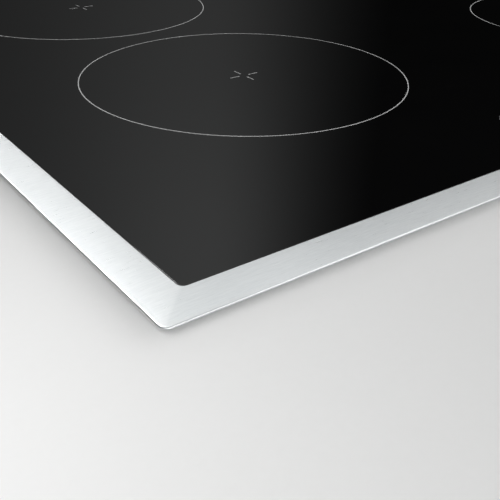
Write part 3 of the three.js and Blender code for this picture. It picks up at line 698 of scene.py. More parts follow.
for sx in (-1, 1):
    for sy in (-1, 1):
        y = sy * 150
        cut.append(mesh_of(*loft([[(sx * hx - 3, yy, zz) for yy, zz in ((y - 11.6, 42.2), (y + 11.6, 42.2), (y + 11.6, 47), (y - 11.6, 47))],
                                  [(sx * hx + 3, yy, zz) for yy, zz in ((y - 11.6, 42.2), (y + 11.6, 42.2), (y + 11.6, 47), (y - 11.6, 47))]])))
        ring2 = arc(sx * 190, 42, 2.3, 0, 360, 20)[:-1]
        cut.append(mesh_of(*loft([[(px, sy * hy - 3, pz) for px, pz in ring2], [(px, sy * hy + 3, pz) for px, pz in ring2]])))
tbx = bx("terminal_cover")
cut.append(mesh_of(*prism([(141.5, 179.5), (248.5, 179.5), (248.5, 236), (141.5, 236)], -1, 1.5)))
ring2 = arc(228, 15, 11.4, 0, 360, 40)[:-1]
cut.append(mesh_of(*loft([[(px, hy - 3, pz) for px, pz in ring2], [(px, hy + 3, pz) for px, pz in ring2]])))
# shallow stiffening ribs pressed into the underside
for x0, x1, y in ((-225, -40, -120), (40, 225, -120), (-225, -40, -30), (40, 225, -30), (-225, -40, 55), (40, 225, 55), (-225, 225, -205)):
    pa = capsule(x0, x1, y, 6.0, 10)
    pb = capsule(x0 + 1.2, x1 - 1.2, y, 4.8, 10)
    cut.append(mesh_of(*loft([[(px, py, -0.5) for px, py in pa], [(px, py, 0.0) for px, py in pa], [(px, py, 0.45) for px, py in pb]])))
house = boolean(house, merge("cutters", cut))
posts = []
for x, y in ((-246, -215), (246, -215), (-246, 205), (123, 216)):
    posts.append(lathe_mesh([(0, 0.8), (6.6, 0.8), (6.2, 1.3), (5.4, 1.8), (5.4, 12.4), (4.8, 13.0), (2.0, 13.0), (1.6, 12.0), (0, 12.0)], x, y, 32))
for x0, x1 in ((-248, -32), (12, 248)):
    for x in (x0 + 6, x1 - 6):
        for y in (-64, 98):
            posts.append(lathe_mesh([(0, 0.8), (4.6, 0.8), (4.2, 1.2), (3.5, 1.6), (3.5, 6.6), (3.2, 6.9), (0, 6.9)], x, y, 24))
add("base_tray", merge("base_tray", [house] + posts), "galvanised_steel", "base_housing", smooth=32)

# ------------------------------------------------------------------ coil carrier plate with holes and lightening slots
cx0, cx1, cy0, cy1, cz0, cz1 = bx("coil_carrier_plate")
plate = mesh_of(*loft([[(x, y, z) for x, y in round_rect(cx1 - o2, cy1 - o2, 4 - o2, 8)] for o2, z in ((0.25, cz0), (0, cz0 + 0.25), (0, cz1 - 0.25), (0.25, cz1))]))
zc = {}
cut = [mesh_of(*prism([(-112, -172), (112, -172), (112, -260), (-112, -260)], cz0 - 1, cz1 + 1)),
       mesh_of(*prism(capsule(20, 44, -157, 3.0), cz0 - 1, cz1 + 1))]
LEAD_HOLE = {"front_left": (-62, 4), "rear_left": (-62, 26), "front_right": (143.5, -12), "rear_right": (132.5, -12)}
LEAD_R, LEAD_Z = 1.75, 47.0
for k in ZONES:
    x, y = mid("coil_winding_" + k)
    zc[k] = (x, y, (bx("coil_winding_" + k)[1] - bx("coil_winding_" + k)[0]) / 2)
    cut.append(mesh_of(*prism(arc(x, y, 9, 0, 360, 36)[:-1], cz0 - 1, cz1 + 1)))
    cut.append(mesh_of(*prism(arc(*LEAD_HOLE[k], 5, 0, 360, 24)[:-1], cz0 - 1, cz1 + 1)))
    r = zc[k][2]
    for i in range(6):                                    # lightening slots under each coil
        a0 = 60 * i + 12
        rr = r * 0.62
        pts3 = arc(x, y, rr + 5, a0, a0 + 36, 10) + list(reversed(arc(x, y, rr - 5, a0, a0 + 36, 10)))
        cut.append(mesh_of(*prism(pts3, cz0 - 1, cz1 + 1)))
add("coil_carrier_sheet", boolean(plate, merge("cutters", cut)), "aluminium_sheet", "coil_carrier_plate", smooth=32)

# ------------------------------------------------------------------ coils
for k in ZONES:
    x, y, ro = zc[k]
    ri = {"front_left": 24, "rear_left": 24, "front_right": 20, "rear_right": 24}[k]
    fz0, fz1 = bx("coil_former_" + k)[4:]
    wz0, wz1 = bx("coil_winding_" + k)[4:]
    body_me = lathe_mesh([(9, fz0), (ro + 3.6, fz0), (ro + 4, fz0 + 0.4), (ro + 4, fz1 - 0.4), (ro + 3.6, fz1), (ro + 1.2, fz1), (ro + 0.9, fz1 - 0.3),
                          (ro + 0.9, fz0 + 3.0), (ri - 0.8, fz0 + 3.0), (ri - 0.8, fz1 - 0.3), (ri - 1.1, fz1), (ri - 2, fz1), (ri - 2, fz1 - 2), (9, fz1 - 2)], x, y, 72)
    ribs = []
    nb = 8 if ro < 80 else 12
    for i in range(nb):
        a = 2 * math.pi * (i + 0.5) / nb
        rib = soft_box(ri, ro, -1.1, 1.1, fz0 + 2.8, fz1, 0.2, 1)
        ribs.append(move(rib, Matrix.Translation((x * MM, y * MM, 0)) @ Matrix.Rotation(a, 4, "Z")))
    add("former_" + k, merge("former", [body_me] + ribs), "coil_former", "coil_former_" + k, smooth=32)
    bars = []
    for i in range(nb):
        a = 2 * math.pi * i / nb
        bar = soft_box(ri + 3, ro - 3, -6.5 if ro > 80 else -5.5, 6.5 if ro > 80 else 5.5, fz0 + 3.2, fz1 - 0.6, 0.5, 2)
        bars.append(move(bar, Matrix.Translation((x * MM, y * MM, 0)) @ Matrix.Rotation(a, 4, "Z")))
    add("ferrite_bars_" + k, merge("ferrite", bars), "ferrite")
    # flat spiral of litz wire
    d = (wz1 - wz0) - 0.02
    pitch = d + 0.16
    turns = (ro - ri - d) / pitch
    steps = int(turns * 56)
    pts3 = []
    for i in range(steps + 1):
        t = i / steps
        a = 2 * math.pi * turns * t
        rr = ri + d / 2 + (ro - ri - d) * t
        pts3.append((x + rr * math.cos(a), y + rr * math.sin(a), (wz0 + wz1) / 2))
    sec = circle(d / 2, 8)
    me2 = sweep_mesh(pts3, sec)
    uvl = me2.uv_layers.new(name="along")
    n8 = len(sec)
    cum, acc = [0.0], 0.0
    for p, q in zip(pts3, pts3[1:]):
        acc += math.dist(p, q)
        cum.append(acc)
    for poly in me2.polygons:
        vs = [me2.loops[li2].vertex_index for li2 in poly.loop_indices]
        js = [vi % n8 for vi in vs]
        wrap = max(js) - min(js) > n8 / 2
        for li2, vi, j in zip(poly.loop_indices, vs, js):
            jj = j + n8 if wrap and j < n8 / 2 else j
            uvl.data[li2].uv = (cum[min(vi // n8, len(cum) - 1)] * 1.0, jj / n8 * 6.0)
    add("litz_spiral_" + k, me2, "litz", "coil_winding_" + k, smooth=60)
    # temperature sensor: moulded holder, spring shoulder and white sensing cap
    sx0, sx1, sy0, sy1, sz0, sz1 = bx("temperature_sensor_" + k)
    cx_, cy_ = mid("temperature_sensor_" + k)
    add("sensor_cap_" + k, merge("sensor", [
        lathe_mesh([(0, sz0), (7.6, sz0), (8.2, sz0 + 0.6), (8.2, sz0 + 1.2), (7.2, sz0 + 1.6), (7.2, 40.4), (6.0, 42.0), (6.0, sz1 - 0.8), (5.2, sz1), (0, sz1)], cx_, cy_, 40),
        lathe_mesh([(7.2, 37.6), (8.0, 37.8), (8.0, 38.4), (7.2, 38.6)], cx_, cy_, 40)]), "ceramic", "temperature_sensor_" + k)
    lx, ly = LEAD_HOLE[k]
    dd = math.hypot(lx - x, ly - y)
    ux, uy = (lx - x) / dd, (ly - y) / dd
    lr = LEAD_R
    path = smooth_path([(x + ux * (ro + 0.6), y + uy * (ro + 0.6), LEAD_Z), (lx - ux * 8, ly - uy * 8, LEAD_Z - 0.2), (lx - ux * 1.5, ly - uy * 1.5, 44.6),
                        (lx, ly, 39), (lx, ly, 28), (lx, ly, 16.2)], 90)
    lead = sweep_mesh(path, circle(lr, 16))
    add("coil_lead_sleeve_" + k, lead, "cable_sheath", "coil_lead_" + k, smooth=60)

# ------------------------------------------------------------------ mica mats
for side, s in (("left", -1), ("right", 1)):
    x0, x1, y0, y1, z0, z1 = bx("insulation_mat_" + side)
    me2 = mesh_of(*prism(round_rect(112, 213, 6, 8, s * 143, 8), z0, z1))
    cut = [mesh_of(*prism([(-113, -171), (113, -171), (113, -260), (-113, -260)], z0 - 1, z1 + 1))]
    for k in ZONES:
        if k.endswith(side):
            cut.append(mesh_of(*prism(arc(*mid("temperature_sensor_" + k), 7, 0, 360, 36)[:-1], z0 - 1, z1 + 1)))
    add("mica_sheet_" + side, bevelled(boolean(me2, merge("c", cut)), 0.15, 1), "mica", "insulation_mat_" + side, smooth=32)

# ------------------------------------------------------------------ carrier springs with closed ends
for k, (x, y) in {"front_left": (-246, -215), "front_right": (246, -215), "rear_left": (-246, 205), "rear_right": (123, 216)}.items():
    x0, x1, y0, y1, z0, z1 = bx("carrier_spring_" + k)
    pts3 = []
    n = 260
    for i in range(n + 1):
        t = i / n
        a = 2 * math.pi * 6.0 * t
        tz = t
        if t < 0.14:
            tz = 0.14 * (t / 0.14) ** 2 * 0.55
        elif t > 0.86:
            tz = 1 - 0.14 * ((1 - t) / 0.14) ** 2 * 0.55
        else:
            tz = 0.077 + (t - 0.14) / 0.72 * (1 - 0.154)
        pts3.append((x + 7.4 * math.cos(a), y + 7.4 * math.sin(a), z0 + 0.85 + (z1 - z0 - 1.7) * tz))
    add("spring_coil_" + k, sweep_mesh(pts3, circle(0.82, 10)), "spring_steel", "carrier_spring_" + k, smooth=60)

# ------------------------------------------------------------------ inverter boards
for side, (x0, x1) in {"left": (-248.0, -32.0), "right": (12.0, 248.0)}.items():
    fx = FANS[side][0]
    zt = 8.6
    board = mesh_of(*prism(round_rect((x1 - x0) / 2, 87, 3, 6, (x0 + x1) / 2, 17), 7.0, zt))
    cut = []
    for x in (x0 + 6, x1 - 6):
        for y in (-64, 98):
            cut.append(mesh_of(*prism(arc(x, y, 1.7, 0, 360, 16)[:-1], 6, 10)))
    board = boolean(board, merge("c", cut))
    add("inverter_board_" + side, board, "circuit_board", "power_board_" + side, smooth=32)
    e = 0.02
    tall = [(fx + 38, fx + 64, 60, 92, 26, "blue_box"), (fx + 38, fx + 66, 22, 52, 22, "film_box"), (fx + 38, fx + 66, -14, 16, 22, "film_box"),
            (fx + 40, fx + 62, -52, -28, 16, "relay")]
    if side == "right":
        tall += [(fx + 90, fx + 130, 60, 84, 12, "grey_part"), (fx + 90, fx + 118, -20, 10, 22, "film_box")]
    else:
        tall += [(fx - 100, fx - 66, 60, 84, 12, "grey_part"), (fx - 100, fx - 72, -20, 10, 22, "film_box")]
    groups = {}
    for a, c2, d0, d1, h, key in tall:
        groups.setdefault(key, []).append(soft_box(a, c2, d0, d1, zt + 0.3, zt + h, 1.2, 3))
        for px, py in ((a + 2.5, (d0 + d1) / 2), (c2 - 2.5, (d0 + d1) / 2)):
            groups.setdefault("tin", []).append(lathe_mesh([(0, 5.4), (0.9, 5.6), (1.3, 7.0 - e), (0.5, 7.0 - e), (0.5, zt + 0.4), (0, zt + 0.4)], px, py, 10))
    # signal connector
    groups.setdefault("beige", []).append(soft_box(fx - 30, fx - 4, -62, -50, zt + e, zt + 9.9, 0.6, 2))
    # ceramic and small parts
    rnd = random.Random(11 if side == "left" else 23)
    for _ in range(46):
        px, py = rnd.uniform(x0 + 6, x1 - 6), rnd.uniform(-62, 96)
        if abs(px - fx) < 40 and py > -44:
            continue
        if any(a - 3 < px < c2 + 3 and d0 - 3 < py < d1 + 3 for a, c2, d0, d1, h, key in tall + [(fx - 30, fx - 4, -62, -50, 10, "")]):
            continue
        tcx = fx - 62 if side == "left" else fx + 104
        if math.hypot(px - tcx, py - 34) < 21 or min(math.hypot(px - lx_, py - ly_) for lx_, ly_ in LEAD_HOLE.values()) < 10 or min(math.hypot(px - a2, py - b3) for a2 in (x0 + 6, x1 - 6) for b3 in (-64, 98)) < 8:
            continue
        kind = rnd.random()
        if kind < 0.55:
            groups.setdefault("chip", []).append(soft_box(px - 1.6, px + 1.6, py - 0.8, py + 0.8, zt + e, zt + 0.6, 0.1, 1))
        elif kind < 0.8:
            groups.setdefault("chip", []).append(soft_box(px - 3.5, px + 3.5, py - 2.2, py + 2.2, zt + e + 0.1, zt + 1.9, 0.2, 1))
            for q in range(4):
                for sgn in (-1, 1):
                    groups.setdefault("tin", []).append(soft_box(px - 2.7 + q * 1.7, px - 2.3 + q * 1.7, py + sgn * 2.9 - 0.6, py + sgn * 2.9 + 0.6, zt + e, zt + 0.5, 0.05, 1))
        else:
            groups.setdefault("grey_part", []).append(lathe_mesh([(0, zt + e), (3.0, zt + e), (3.15, zt + 0.8), (3.0, zt + 1.2), (3.15, zt + 1.6), (3.15, zt + 9.4), (2.8, zt + 9.9), (2.2, zt + 9.8), (0, zt + 9.8)], px, py, 24))
    # screw terminals for the coil leads
    for k in ZONES:
        if k.endswith(side):
            lx, ly = LEAD_HOLE[k]
            groups.setdefault("beige", []).append(soft_box(lx - 4.4, lx + 4.4, ly - 4.4, ly + 4.4, zt + e, zt + 5.2, 0.5, 2))
            groups.setdefault("brass", []).append(lathe_mesh([(0, zt + 5.2), (3.4, zt + 5.2), (3.4, zt + 6.6), (3.0, zt + 6.95), (0, zt + 6.95)], lx, ly, 28))
    names = {"blue_box": "mains_capacitor_", "film_box": "film_capacitors_", "relay": "relay_", "grey_part": "small_capacitors_", "tin": "solder_pins_", "beige": "terminals_",
             "chip": "driver_chips_", "brass": "terminal_screws_"}
    for key, lst in groups.items():
        add(names[key] + side, merge(key, lst), key, smooth=40)
    # heatsink: extruded comb with rounded fin tips
    hx_0, hx_1, hy_0, hy_1, hz_0, hz_1 = bx("heatsink_" + side)
    w2, nf, base_t, fin = hx_1 - hx_0, 9, 4.0, 1.6
    pts3 = [(hx_0 + 0.3, hz_0), (hx_1 - 0.3, hz_0), (hx_1, hz_0 + 0.3)]
    for i in range(nf - 1, -1, -1):
        c3 = hx_0 + fin / 2 + i * (w2 - fin) / (nf - 1)
        pts3 += [(c3 + fin / 2, hz_1 - 0.5), (c3 + fin * 0.3, hz_1), (c3 - fin * 0.3, hz_1), (c3 - fin / 2, hz_1 - 0.5)]
        if i:
            p3 = hx_0 + fin / 2 + (i - 1) * (w2 - fin) / (nf - 1)
            rr = 0.9
            pts3 += [(c3 - fin / 2, hz_0 + base_t + rr), (c3 - fin / 2 - rr * 0.3, hz_0 + base_t + rr * 0.3), (c3 - fin / 2 - rr, hz_0 + base_t),
                     (p3 + fin / 2 + rr, hz_0 + base_t), (p3 + fin / 2 + rr * 0.3, hz_0 + base_t + rr * 0.3), (p3 + fin / 2, hz_0 + base_t + rr)]
    pts3 += [(hx_0, hz_0 + 0.3)]
    comb_me = mesh_of(*loft([[(px, hy_0, pz) for px, pz in pts3], [(px, hy_1, pz) for px, pz in pts3]]))
    add("heatsink_comb_" + side, comb_me, "aluminium_extrusion", "heatsink_" + side, smooth=32)
    # filter choke: powder core with a single-layer winding
    tx, ty = mid("filter_choke_" + side)
    z0c, z1c = bx("filter_choke_" + side)[4:]
    zc0 = (z0c + z1c) / 2
    core = lathe_mesh([(8.2, z0c + 2.6), (9.0, z0c + 1.9), (13.6, z0c + 1.9), (14.4, z0c + 2.6), (14.4, z1c - 2.6), (13.6, z1c - 1.9), (9.0, z1c - 1.9), (8.2, z1c - 2.6)], tx, ty, 48)
    add("choke_core_" + side, core, "ferrite", "filter_choke_" + side)
    pts3 = []
    for half_i, (a0, a1) in enumerate(((15, 165), (195, 345))):
        pts3 = []
        n_t, st = 15, 26
        for i in range(n_t * st + 1):
            t = i / (n_t * st)
            a = math.radians(a0 + (a1 - a0) * t)
            ph = 2 * math.pi * n_t * t
            # rounded rectangle section round the core
            cu, su = math.cos(ph), math.sin(ph)
            q = 5.0
            den = (abs(cu / 4.15) ** q + abs(su / 6.0) ** q) ** (1 / q)
            pr, pz = cu / den, su / den
            rr = 11.3 + pr
            pts3.append((tx + rr * math.cos(a), ty + rr * math.sin(a), zc0 + pz))
        add(f"choke_winding_{side}_{half_i + 1}", sweep_mesh(pts3, circle(0.72, 6)), "copper_litz", smooth=60)

# ------------------------------------------------------------------ blowers
for side, (fx, fy) in FANS.items():
    x0, x1, y0, y1, z0, z1 = bx("fan_housing_" + side)
    shell_pts = round_rect(50, 50, 10, 10, fx, fy)
    shell = mesh_of(*loft([[(fx + (px - fx) * s2, fy + (py - fy) * s2, z) for px, py in shell_pts] for s2, z in
                           ((0.985, z0), (1.0, z0 + 0.8), (1.0, z1 - 1.2), (0.985, z1 - 0.3), (0.97, z1))]))
    cut = [mesh_of(*prism(arc(fx, fy, 47, 0, 360, 72)[:-1], z0 + 1.8, z1 - 1.8)),
           mesh_of(*prism([(fx - 28, fy - 52), (fx + 46, fy - 52), (fx + 46, fy), (fx - 28, fy)], z0 + 1.8, z1 - 1.8)),
           mesh_of(*prism(arc(fx, fy, 33, 0, 360, 60)[:-1], z0 - 1, z0 + 3))]
    shell = boolean(shell, cut[0])
    shell = boolean(shell, cut[1])
    shell = boolean(shell, cut[2])
    add("blower_shell_" + side, shell, "black_plastic", "fan_housing_" + side, smooth=32)
    mz0, mz1 = bx("fan_motor_" + side)[4:]
    # stator: laminations with six wound poles under a hub plate
    plate_me = lathe_mesh([(1.9, 26.4), (16.4, 26.4), (17.0, 27.0), (17.0, mz1), (1.9, mz1)], fx, fy, 48)
    lam = lathe_mesh([(1.9, mz0), (5.0, mz0), (5.0, 26.45), (1.9, 26.45)], fx, fy, 32)
    poles = []
    for i in range(6):
        a = math.radians(60 * i)
        arm = soft_box(4.6, 11.0, -1.3, 1.3, 16.0, 24.0, 0.15, 1)
        tip = soft_box(11.0, 13.2, -3.9, 3.9, 16.0, 24.0, 0.3, 1)
        for q in (arm, tip):
            poles.append(move(q, Matrix.Translation((fx * MM, fy * MM, 0)) @ Matrix.Rotation(a, 4, "Z")))
    add("stator_core_" + side, merge("stator", [plate_me, lam] + poles), "tin", "fan_motor_" + side)
    winds = []
    for i in range(6):
        a = math.radians(60 * i)
        pts3 = []
        for j in range(7 * 20 + 1):
            ph = 2 * math.pi * j / 20
            cu, su = math.cos(ph), math.sin(ph)
            den = (abs(cu / 1.95) ** 4 + abs(su / 4.7) ** 4) ** 0.25
            pts3.append((5.6 + 4.8 * j / 140, cu / den, 20 + su / den))
        winds.append(move(sweep_mesh(pts3, circle(0.34, 6)), Matrix.Translation((fx * MM, fy * MM, 0)) @ Matrix.Rotation(a, 4, "Z")))
    add("stator_coils_" + side, merge("coils", winds), "copper_litz", smooth=60)
    # impeller: hub cup, back disc, forward-curved blades and inlet ring
    cup = lathe_mesh([(0, 10.5), (14.6, 10.5), (16.3, 10.9), (17.2, 11.8), (17.5, 12.8), (17.5, 23.2), (17.9, 23.8), (18.6, 24.0), (37.6, 24.0), (38.0, 24.3), (38.0, 24.9), (37.6, 25.2),
                      (15.6, 25.2), (15.2, 24.8), (15.2, 13.2), (14.6, 12.6), (1.5, 12.6), (1.5, 23.7), (1.2, 24.0), (0, 24.0)], fx, fy, 64)
    ring_me2 = lathe_mesh([(34.5, 5.5), (34.8, 5.2), (37.7, 5.2), (38.0, 5.5), (38.0, 6.3), (37.7, 6.6), (34.8, 6.6), (34.5, 6.3)], fx, fy, 64)
    blades = []
    NB = 16
    for i in range(NB):
        base_a = 2 * math.pi * i / NB
        pts4 = []
        for j in range(9):
            t = j / 8
            rr = 29.75 + (36.9 - 29.75) * t
            aa = base_a + 0.0725 - 0.145 * t + 0.035 * math.sin(math.pi * t)
            pts4.append((rr * math.cos(-aa + 2 * base_a), rr * math.sin(-aa + 2 * base_a)))
        # thickness to both sides
        left, rightp = [], []
        for j in range(9):
            a4 = Vector(pts4[max(0, j - 1)] + (0,))
            b4 = Vector(pts4[min(8, j + 1)] + (0,))
            d4 = (b4 - a4).normalized()
            n4 = Vector((-d4.y, d4.x, 0))
            th = 0.5 * math.sin(math.pi * (0.12 + 0.76 * j / 8)) ** 0.5
            p4 = Vector(pts4[j] + (0,))
            left.append(p4 + n4 * th)
            rightp.append(p4 - n4 * th)
        outline = [(p.x + fx, p.y + fy) for p in left] + [(p.x + fx, p.y + fy) for p in reversed(rightp)]
        blades.append(mesh_of(*prism(outline, 6.2, 24.2)))
    add("impeller_" + side, merge("impeller", [cup, ring_me2] + blades), "dark_plastic", "fan_impeller_" + side, body="fan_rotor_" + side, smooth=32)

# ------------------------------------------------------------------ touch control unit
tray_me = boolean(soft_box(-106, 106, -229, -178, 34, 50.0, 1.2, 3), mesh_of(*prism(round_rect(104.4, 23.9, 1.0, 6, 0, -203.5), 35.6, 51)))
tray_me = boolean(tray_me, mesh_of(*prism([(16, -182), (48, -182), (48, -177), (16, -177)], 41, 46)))
posts = [lathe_mesh([(0, 1.1), (3.0, 1.1), (3.0, 33.2), (4.0, 34.2), (0, 34.2)], x, y, 24) for x in (-96, 96) for y in (-222, -186)]
add("touch_tray", merge("tray", [tray_me] + posts), "black_plastic", "control_tray", smooth=32)
add("touch_board", soft_box(-102, 102, -226, -182, 37.0, 38.6, 0.15, 1), "circuit_board", "control_board")
grp = {"beige": [soft_box(20, 44, -187, -183.4, 38.62, 43.4, 0.3, 2)], "chip": [], "tin": []}
for x, y, a, b2 in ((-60, -187, 6, 3.0), (-20, -187, 5, 2.6), (70, -187, 4.5, 2.4)):
    grp["chip"].append(soft_box(x - a, x + a, y - b2, y + b2, 38.7, 40.2, 0.2, 1))
    for q in range(8):
        for sgn in (-1, 1):
            px = x - a + 1 + q * (2 * a - 2) / 7
            grp["tin"].append(soft_box(px - 0.25, px + 0.25, y + sgn * (b2 + 0.5) - 0.6, y + sgn * (b2 + 0.5) + 0.6, 38.62, 38.95, 0.05, 1))
for x in (-96, 96):
    for y in (-220, -188):
        grp["tin"].append(lathe_mesh([(0, 35.7), (2.4, 35.7), (2.4, 36.95), (0, 36.95)], x, y, 20))
        grp["tin"].append(lathe_mesh([(0, 38.65), (2.8, 38.65), (2.6, 39.8), (1.4, 40.3), (0, 40.3)], x, y, 24))
add("touch_board_connector", merge("c", grp["beige"]), "beige")
add("touch_board_chips", merge("c", grp["chip"]), "chip")
add("touch_board_pins", merge("c", grp["tin"]), "tin")
guide = soft_box(-92, 92, -222, -192, 39.0, 49.8, 0.6, 2)
cut = [mesh_of(*prism(round_rect(12, 7, 1.0, 5, -72 + i * 36, -207), 45, 51)) for i in range(5)]
add("light_guide_block", boolean(guide, merge("c", cut)), "white_plastic", "display_light_guide", smooth=32)
bars = []
for i in range(5):                                        # numeric display modules in the guide's windows
    cxm = -72 + i * 36
    for dx in (-5.2, 5.2):
        for seg_i, (sx_, sy_, w_, h_) in enumerate(((0, 4.4, 4.2, 0.9), (0, 0, 4.2, 0.9), (0, -4.4, 4.2, 0.9), (-2.5, 2.2, 0.9, 3.4), (2.5, 2.2, 0.9, 3.4), (-2.5, -2.2, 0.9, 3.4), (2.5, -2.2, 0.9, 3.4))):
            bars.append(soft_box(cxm + dx + sx_ - w_ / 2, cxm + dx + sx_ + w_ / 2, -207 + sy_ - h_ / 2, -207 + sy_ + h_ / 2, 45.0, 45.5, 0.1, 1))
add("display_segments", merge("seg", bars), "film_box")

# flat cable: eight cores side by side
rp = smooth_path([(32, -183.2, 43.9), (32, -174, 43.6), (32, -163, 43), (32, -157.3, 38), (32, -156, 30), (32, -140, 22), (32, -100, 21), (38, -70, 21.6), (43, -58, 20.0)], 90)
tans = frames_along(rp)
sec = []
for i in range(8):
    c3 = -4.375 + i * 1.25
    sec += [(c3 + 0.62 * math.cos(math.radians(a)), 0.34 * math.sin(math.radians(a))) for a in (165, 120, 90, 60, 15)]
for i in reversed(range(8)):
    c3 = -4.375 + i * 1.25
    sec += [(c3 + 0.62 * math.cos(math.radians(a)), -0.34 * math.sin(math.radians(a))) for a in (15, 60, 90, 120, 165)]
loops = []
for i, p in enumerate(rp):
    tt = tans[i][0]
    ww = Vector((1, 0, 0))
    ww = (ww - tt * ww.dot(tt)).normalized()
    nn = tt.cross(ww).normalized()
    loops.append([tuple(p + ww * u + nn * v2) for u, v2 in sec])
v, f = loft(loops)
add("flat_cable", mesh_of(v, f), "ribbon", "ribbon_cable", smooth=60)

# ------------------------------------------------------------------ mains terminal box and what it holds
x0, x1, y0, y1, z0, z1 = 140.0, 250.0, 178.0, 237.2, 1.2, 30.0
tbm = soft_box(x0, x1, y0, y1, z0, z1, 1.6, 3)
tbm = boolean(tbm, soft_box(x0 + 2, x1 - 2, y0 + 2, y1 - 2, z0 - 6, z1 - 2, 0.8, 2))
flange = merge("fl", [soft_box(x0 - 4, x0 + 0.4, y0 - 4, y1, z0, z0 + 1.4, 0.3, 1), soft_box(x1 - 0.4, x1 + 4, y0 - 4, y1, z0, z0 + 1.4, 0.3, 1),
                      soft_box(x0 - 4, x1 + 4, y0 - 4, y0 + 0.4, z0, z0 + 1.4, 0.3, 1)])
cut = []
for a, b2 in ((x0 + 0.6, x0 + 3), (x1 - 3, x1 - 0.6)):
    ring2 = arc(184.2, 3.2, 1.4, 0, 360, 20)[:-1]
    cut.append(mesh_of(*loft([[(a, py, pz) for py, pz in ring2], [(b2, py, pz) for py, pz in ring2]])))
ring2 = arc(228, 15, 11.4, 0, 360, 40)[:-1]
cut.append(mesh_of(*loft([[(px, y1 - 4, pz) for px, pz in ring2], [(px, y1 + 2, pz) for px, pz in ring2]])))
cut.append(mesh_of(*loft([[(px, y0 - 1, pz) for px, pz in ((150, 16), (164, 16), (164, 24), (150, 24))], [(px, y0 + 3, pz) for px, pz in ((150, 16), (164, 16), (164, 24), (150, 24))]])))
tbm = boolean(tbm, merge("c", cut))
posts = [lathe_mesh([(1.7, 10.3), (3.2, 10.3), (3.6, 10.8), (3.6, 27.6), (5.0, 28.2), (1.7, 28.2)], x, 227.5, 28) for x in (214, 242)]
add("terminal_housing", merge("tb", [tbm, flange] + posts), "black_plastic", "terminal_box", smooth=32)
blk = soft_box(150, 206, 192, 216, 13, 27.8, 0.8, 2)
cut, brass = [], []
for i in range(5):
    x = 155.6 + i * 11.2
    pts3 = round_rect(3.2, 3.0, 0.8, 4, x, 18)
    cut.append(mesh_of(*loft([[(px, 208, pz) for px, pz in pts3], [(px, 218, pz) for px, pz in pts3]])))
    cut.append(mesh_of(*prism(arc(x, 203, 2.8, 0, 360, 28)[:-1], 12, 17.5)))
    cut.append(mesh_of(*prism([(x + 5.2, 190), (x + 6.0, 190), (x + 6.0, 207), (x + 5.2, 207)], 12, 15.5)) if i < 4 else mesh_of(*prism([(206.5, 190), (207, 190), (207, 191), (206.5, 191)], 12, 13)))
    scr = lathe_mesh([(0, 0), (2.3, 0), (2.6, 0.35), (2.6, 1.6), (0, 1.6)], 0, 0, 28)
    slot_c = soft_box(-3, 3, -0.35, 0.35, -1, 0.7, 0.0)
    scr = boolean(scr, slot_c)
    brass.append(move(scr, Matrix.Translation((x * MM, 203 * MM, 15.8 * MM))))
    brass.append(boolean(soft_box(x - 2.9, x + 2.9, 209.0, 214.6, 15.2, 20.8, 0.3, 1),
                         mesh_of(*loft([[(px, 208, pz) for px, pz in arc(x, 18, 2.1, 0, 360, 20)[:-1]], [(px, 216, pz) for px, pz in arc(x, 18, 2.1, 0, 360, 20)[:-1]]]))))
add("terminal_block_body", boolean(blk, merge("c", cut)), "white_plastic", "terminal_block", smooth=32)
add("terminal_block_metal", merge("b", brass), "brass", smooth=40)

cx0_, cx1_ = x0 + 2.6, x1 - 2.6
cov = soft_box(cx0_, cx1_, 181.4, 234.6, 0.7, 2.5, 0.45, 2)
ribs = [soft_box(cx0_ + 5, cx1_ - 5, y, y + 1.2, 2.3, 3.0, 0.15, 1) for y in (214.0,)]
recess = mesh_of(*loft([[(x, y, 0.2) for x, y in round_rect(40, 15, 4, 8, 195, 208)], [(x, y, 0.7) for x, y in round_rect(40, 15, 4, 8, 195, 208)], [(x, y, 1.15) for x, y in round_rect(39, 14, 3.4, 8, 195, 208)]]))
cov = boolean(cov, recess)
ears = [soft_box(cx0_, cx0_ + 2.4, 182.7, 185.7, 2.0, 4.7, 0.4, 2), soft_box(cx1_ - 2.4, cx1_, 182.7, 185.7, 2.0, 4.7, 0.4, 2)]
pins = [place(lathe_mesh([(0, 0), (0.9, 0), (1.1, 0.25), (1.1, 2.0), (0, 2.0)], 0, 0, 20), (1, 0, 0), (x0 + 1.0, 184.2, 3.2)),
        place(lathe_mesh([(0, 0), (0.9, 0), (1.1, 0.25), (1.1, 2.0), (0, 2.0)], 0, 0, 20), (-1, 0, 0), (x1 - 1.0, 184.2, 3.2))]
add("cover_flap", merge("cover", [cov] + ears + pins + ribs), "black_plastic", "terminal_cover", body="terminal_cover", smooth=32)

clampm = soft_box(210, 246, 223.5, 231.5, 5.6, 10.0, 0.8, 2)
ring2 = arc(228, 17.2, 9, 0, 360, 48)[:-1]
cut = [mesh_of(*loft([[(px, 220, pz) for px, pz in ring2], [(px, 235, pz) for px, pz in ring2]]))] + [mesh_of(*prism(arc(x, 227.5, 2.0, 0, 360, 24)[:-1], 4, 12)) for x in (214, 242)]
add("cord_clamp", boolean(clampm, merge("c", cut)), "black_plastic", "cable_clamp", smooth=32)


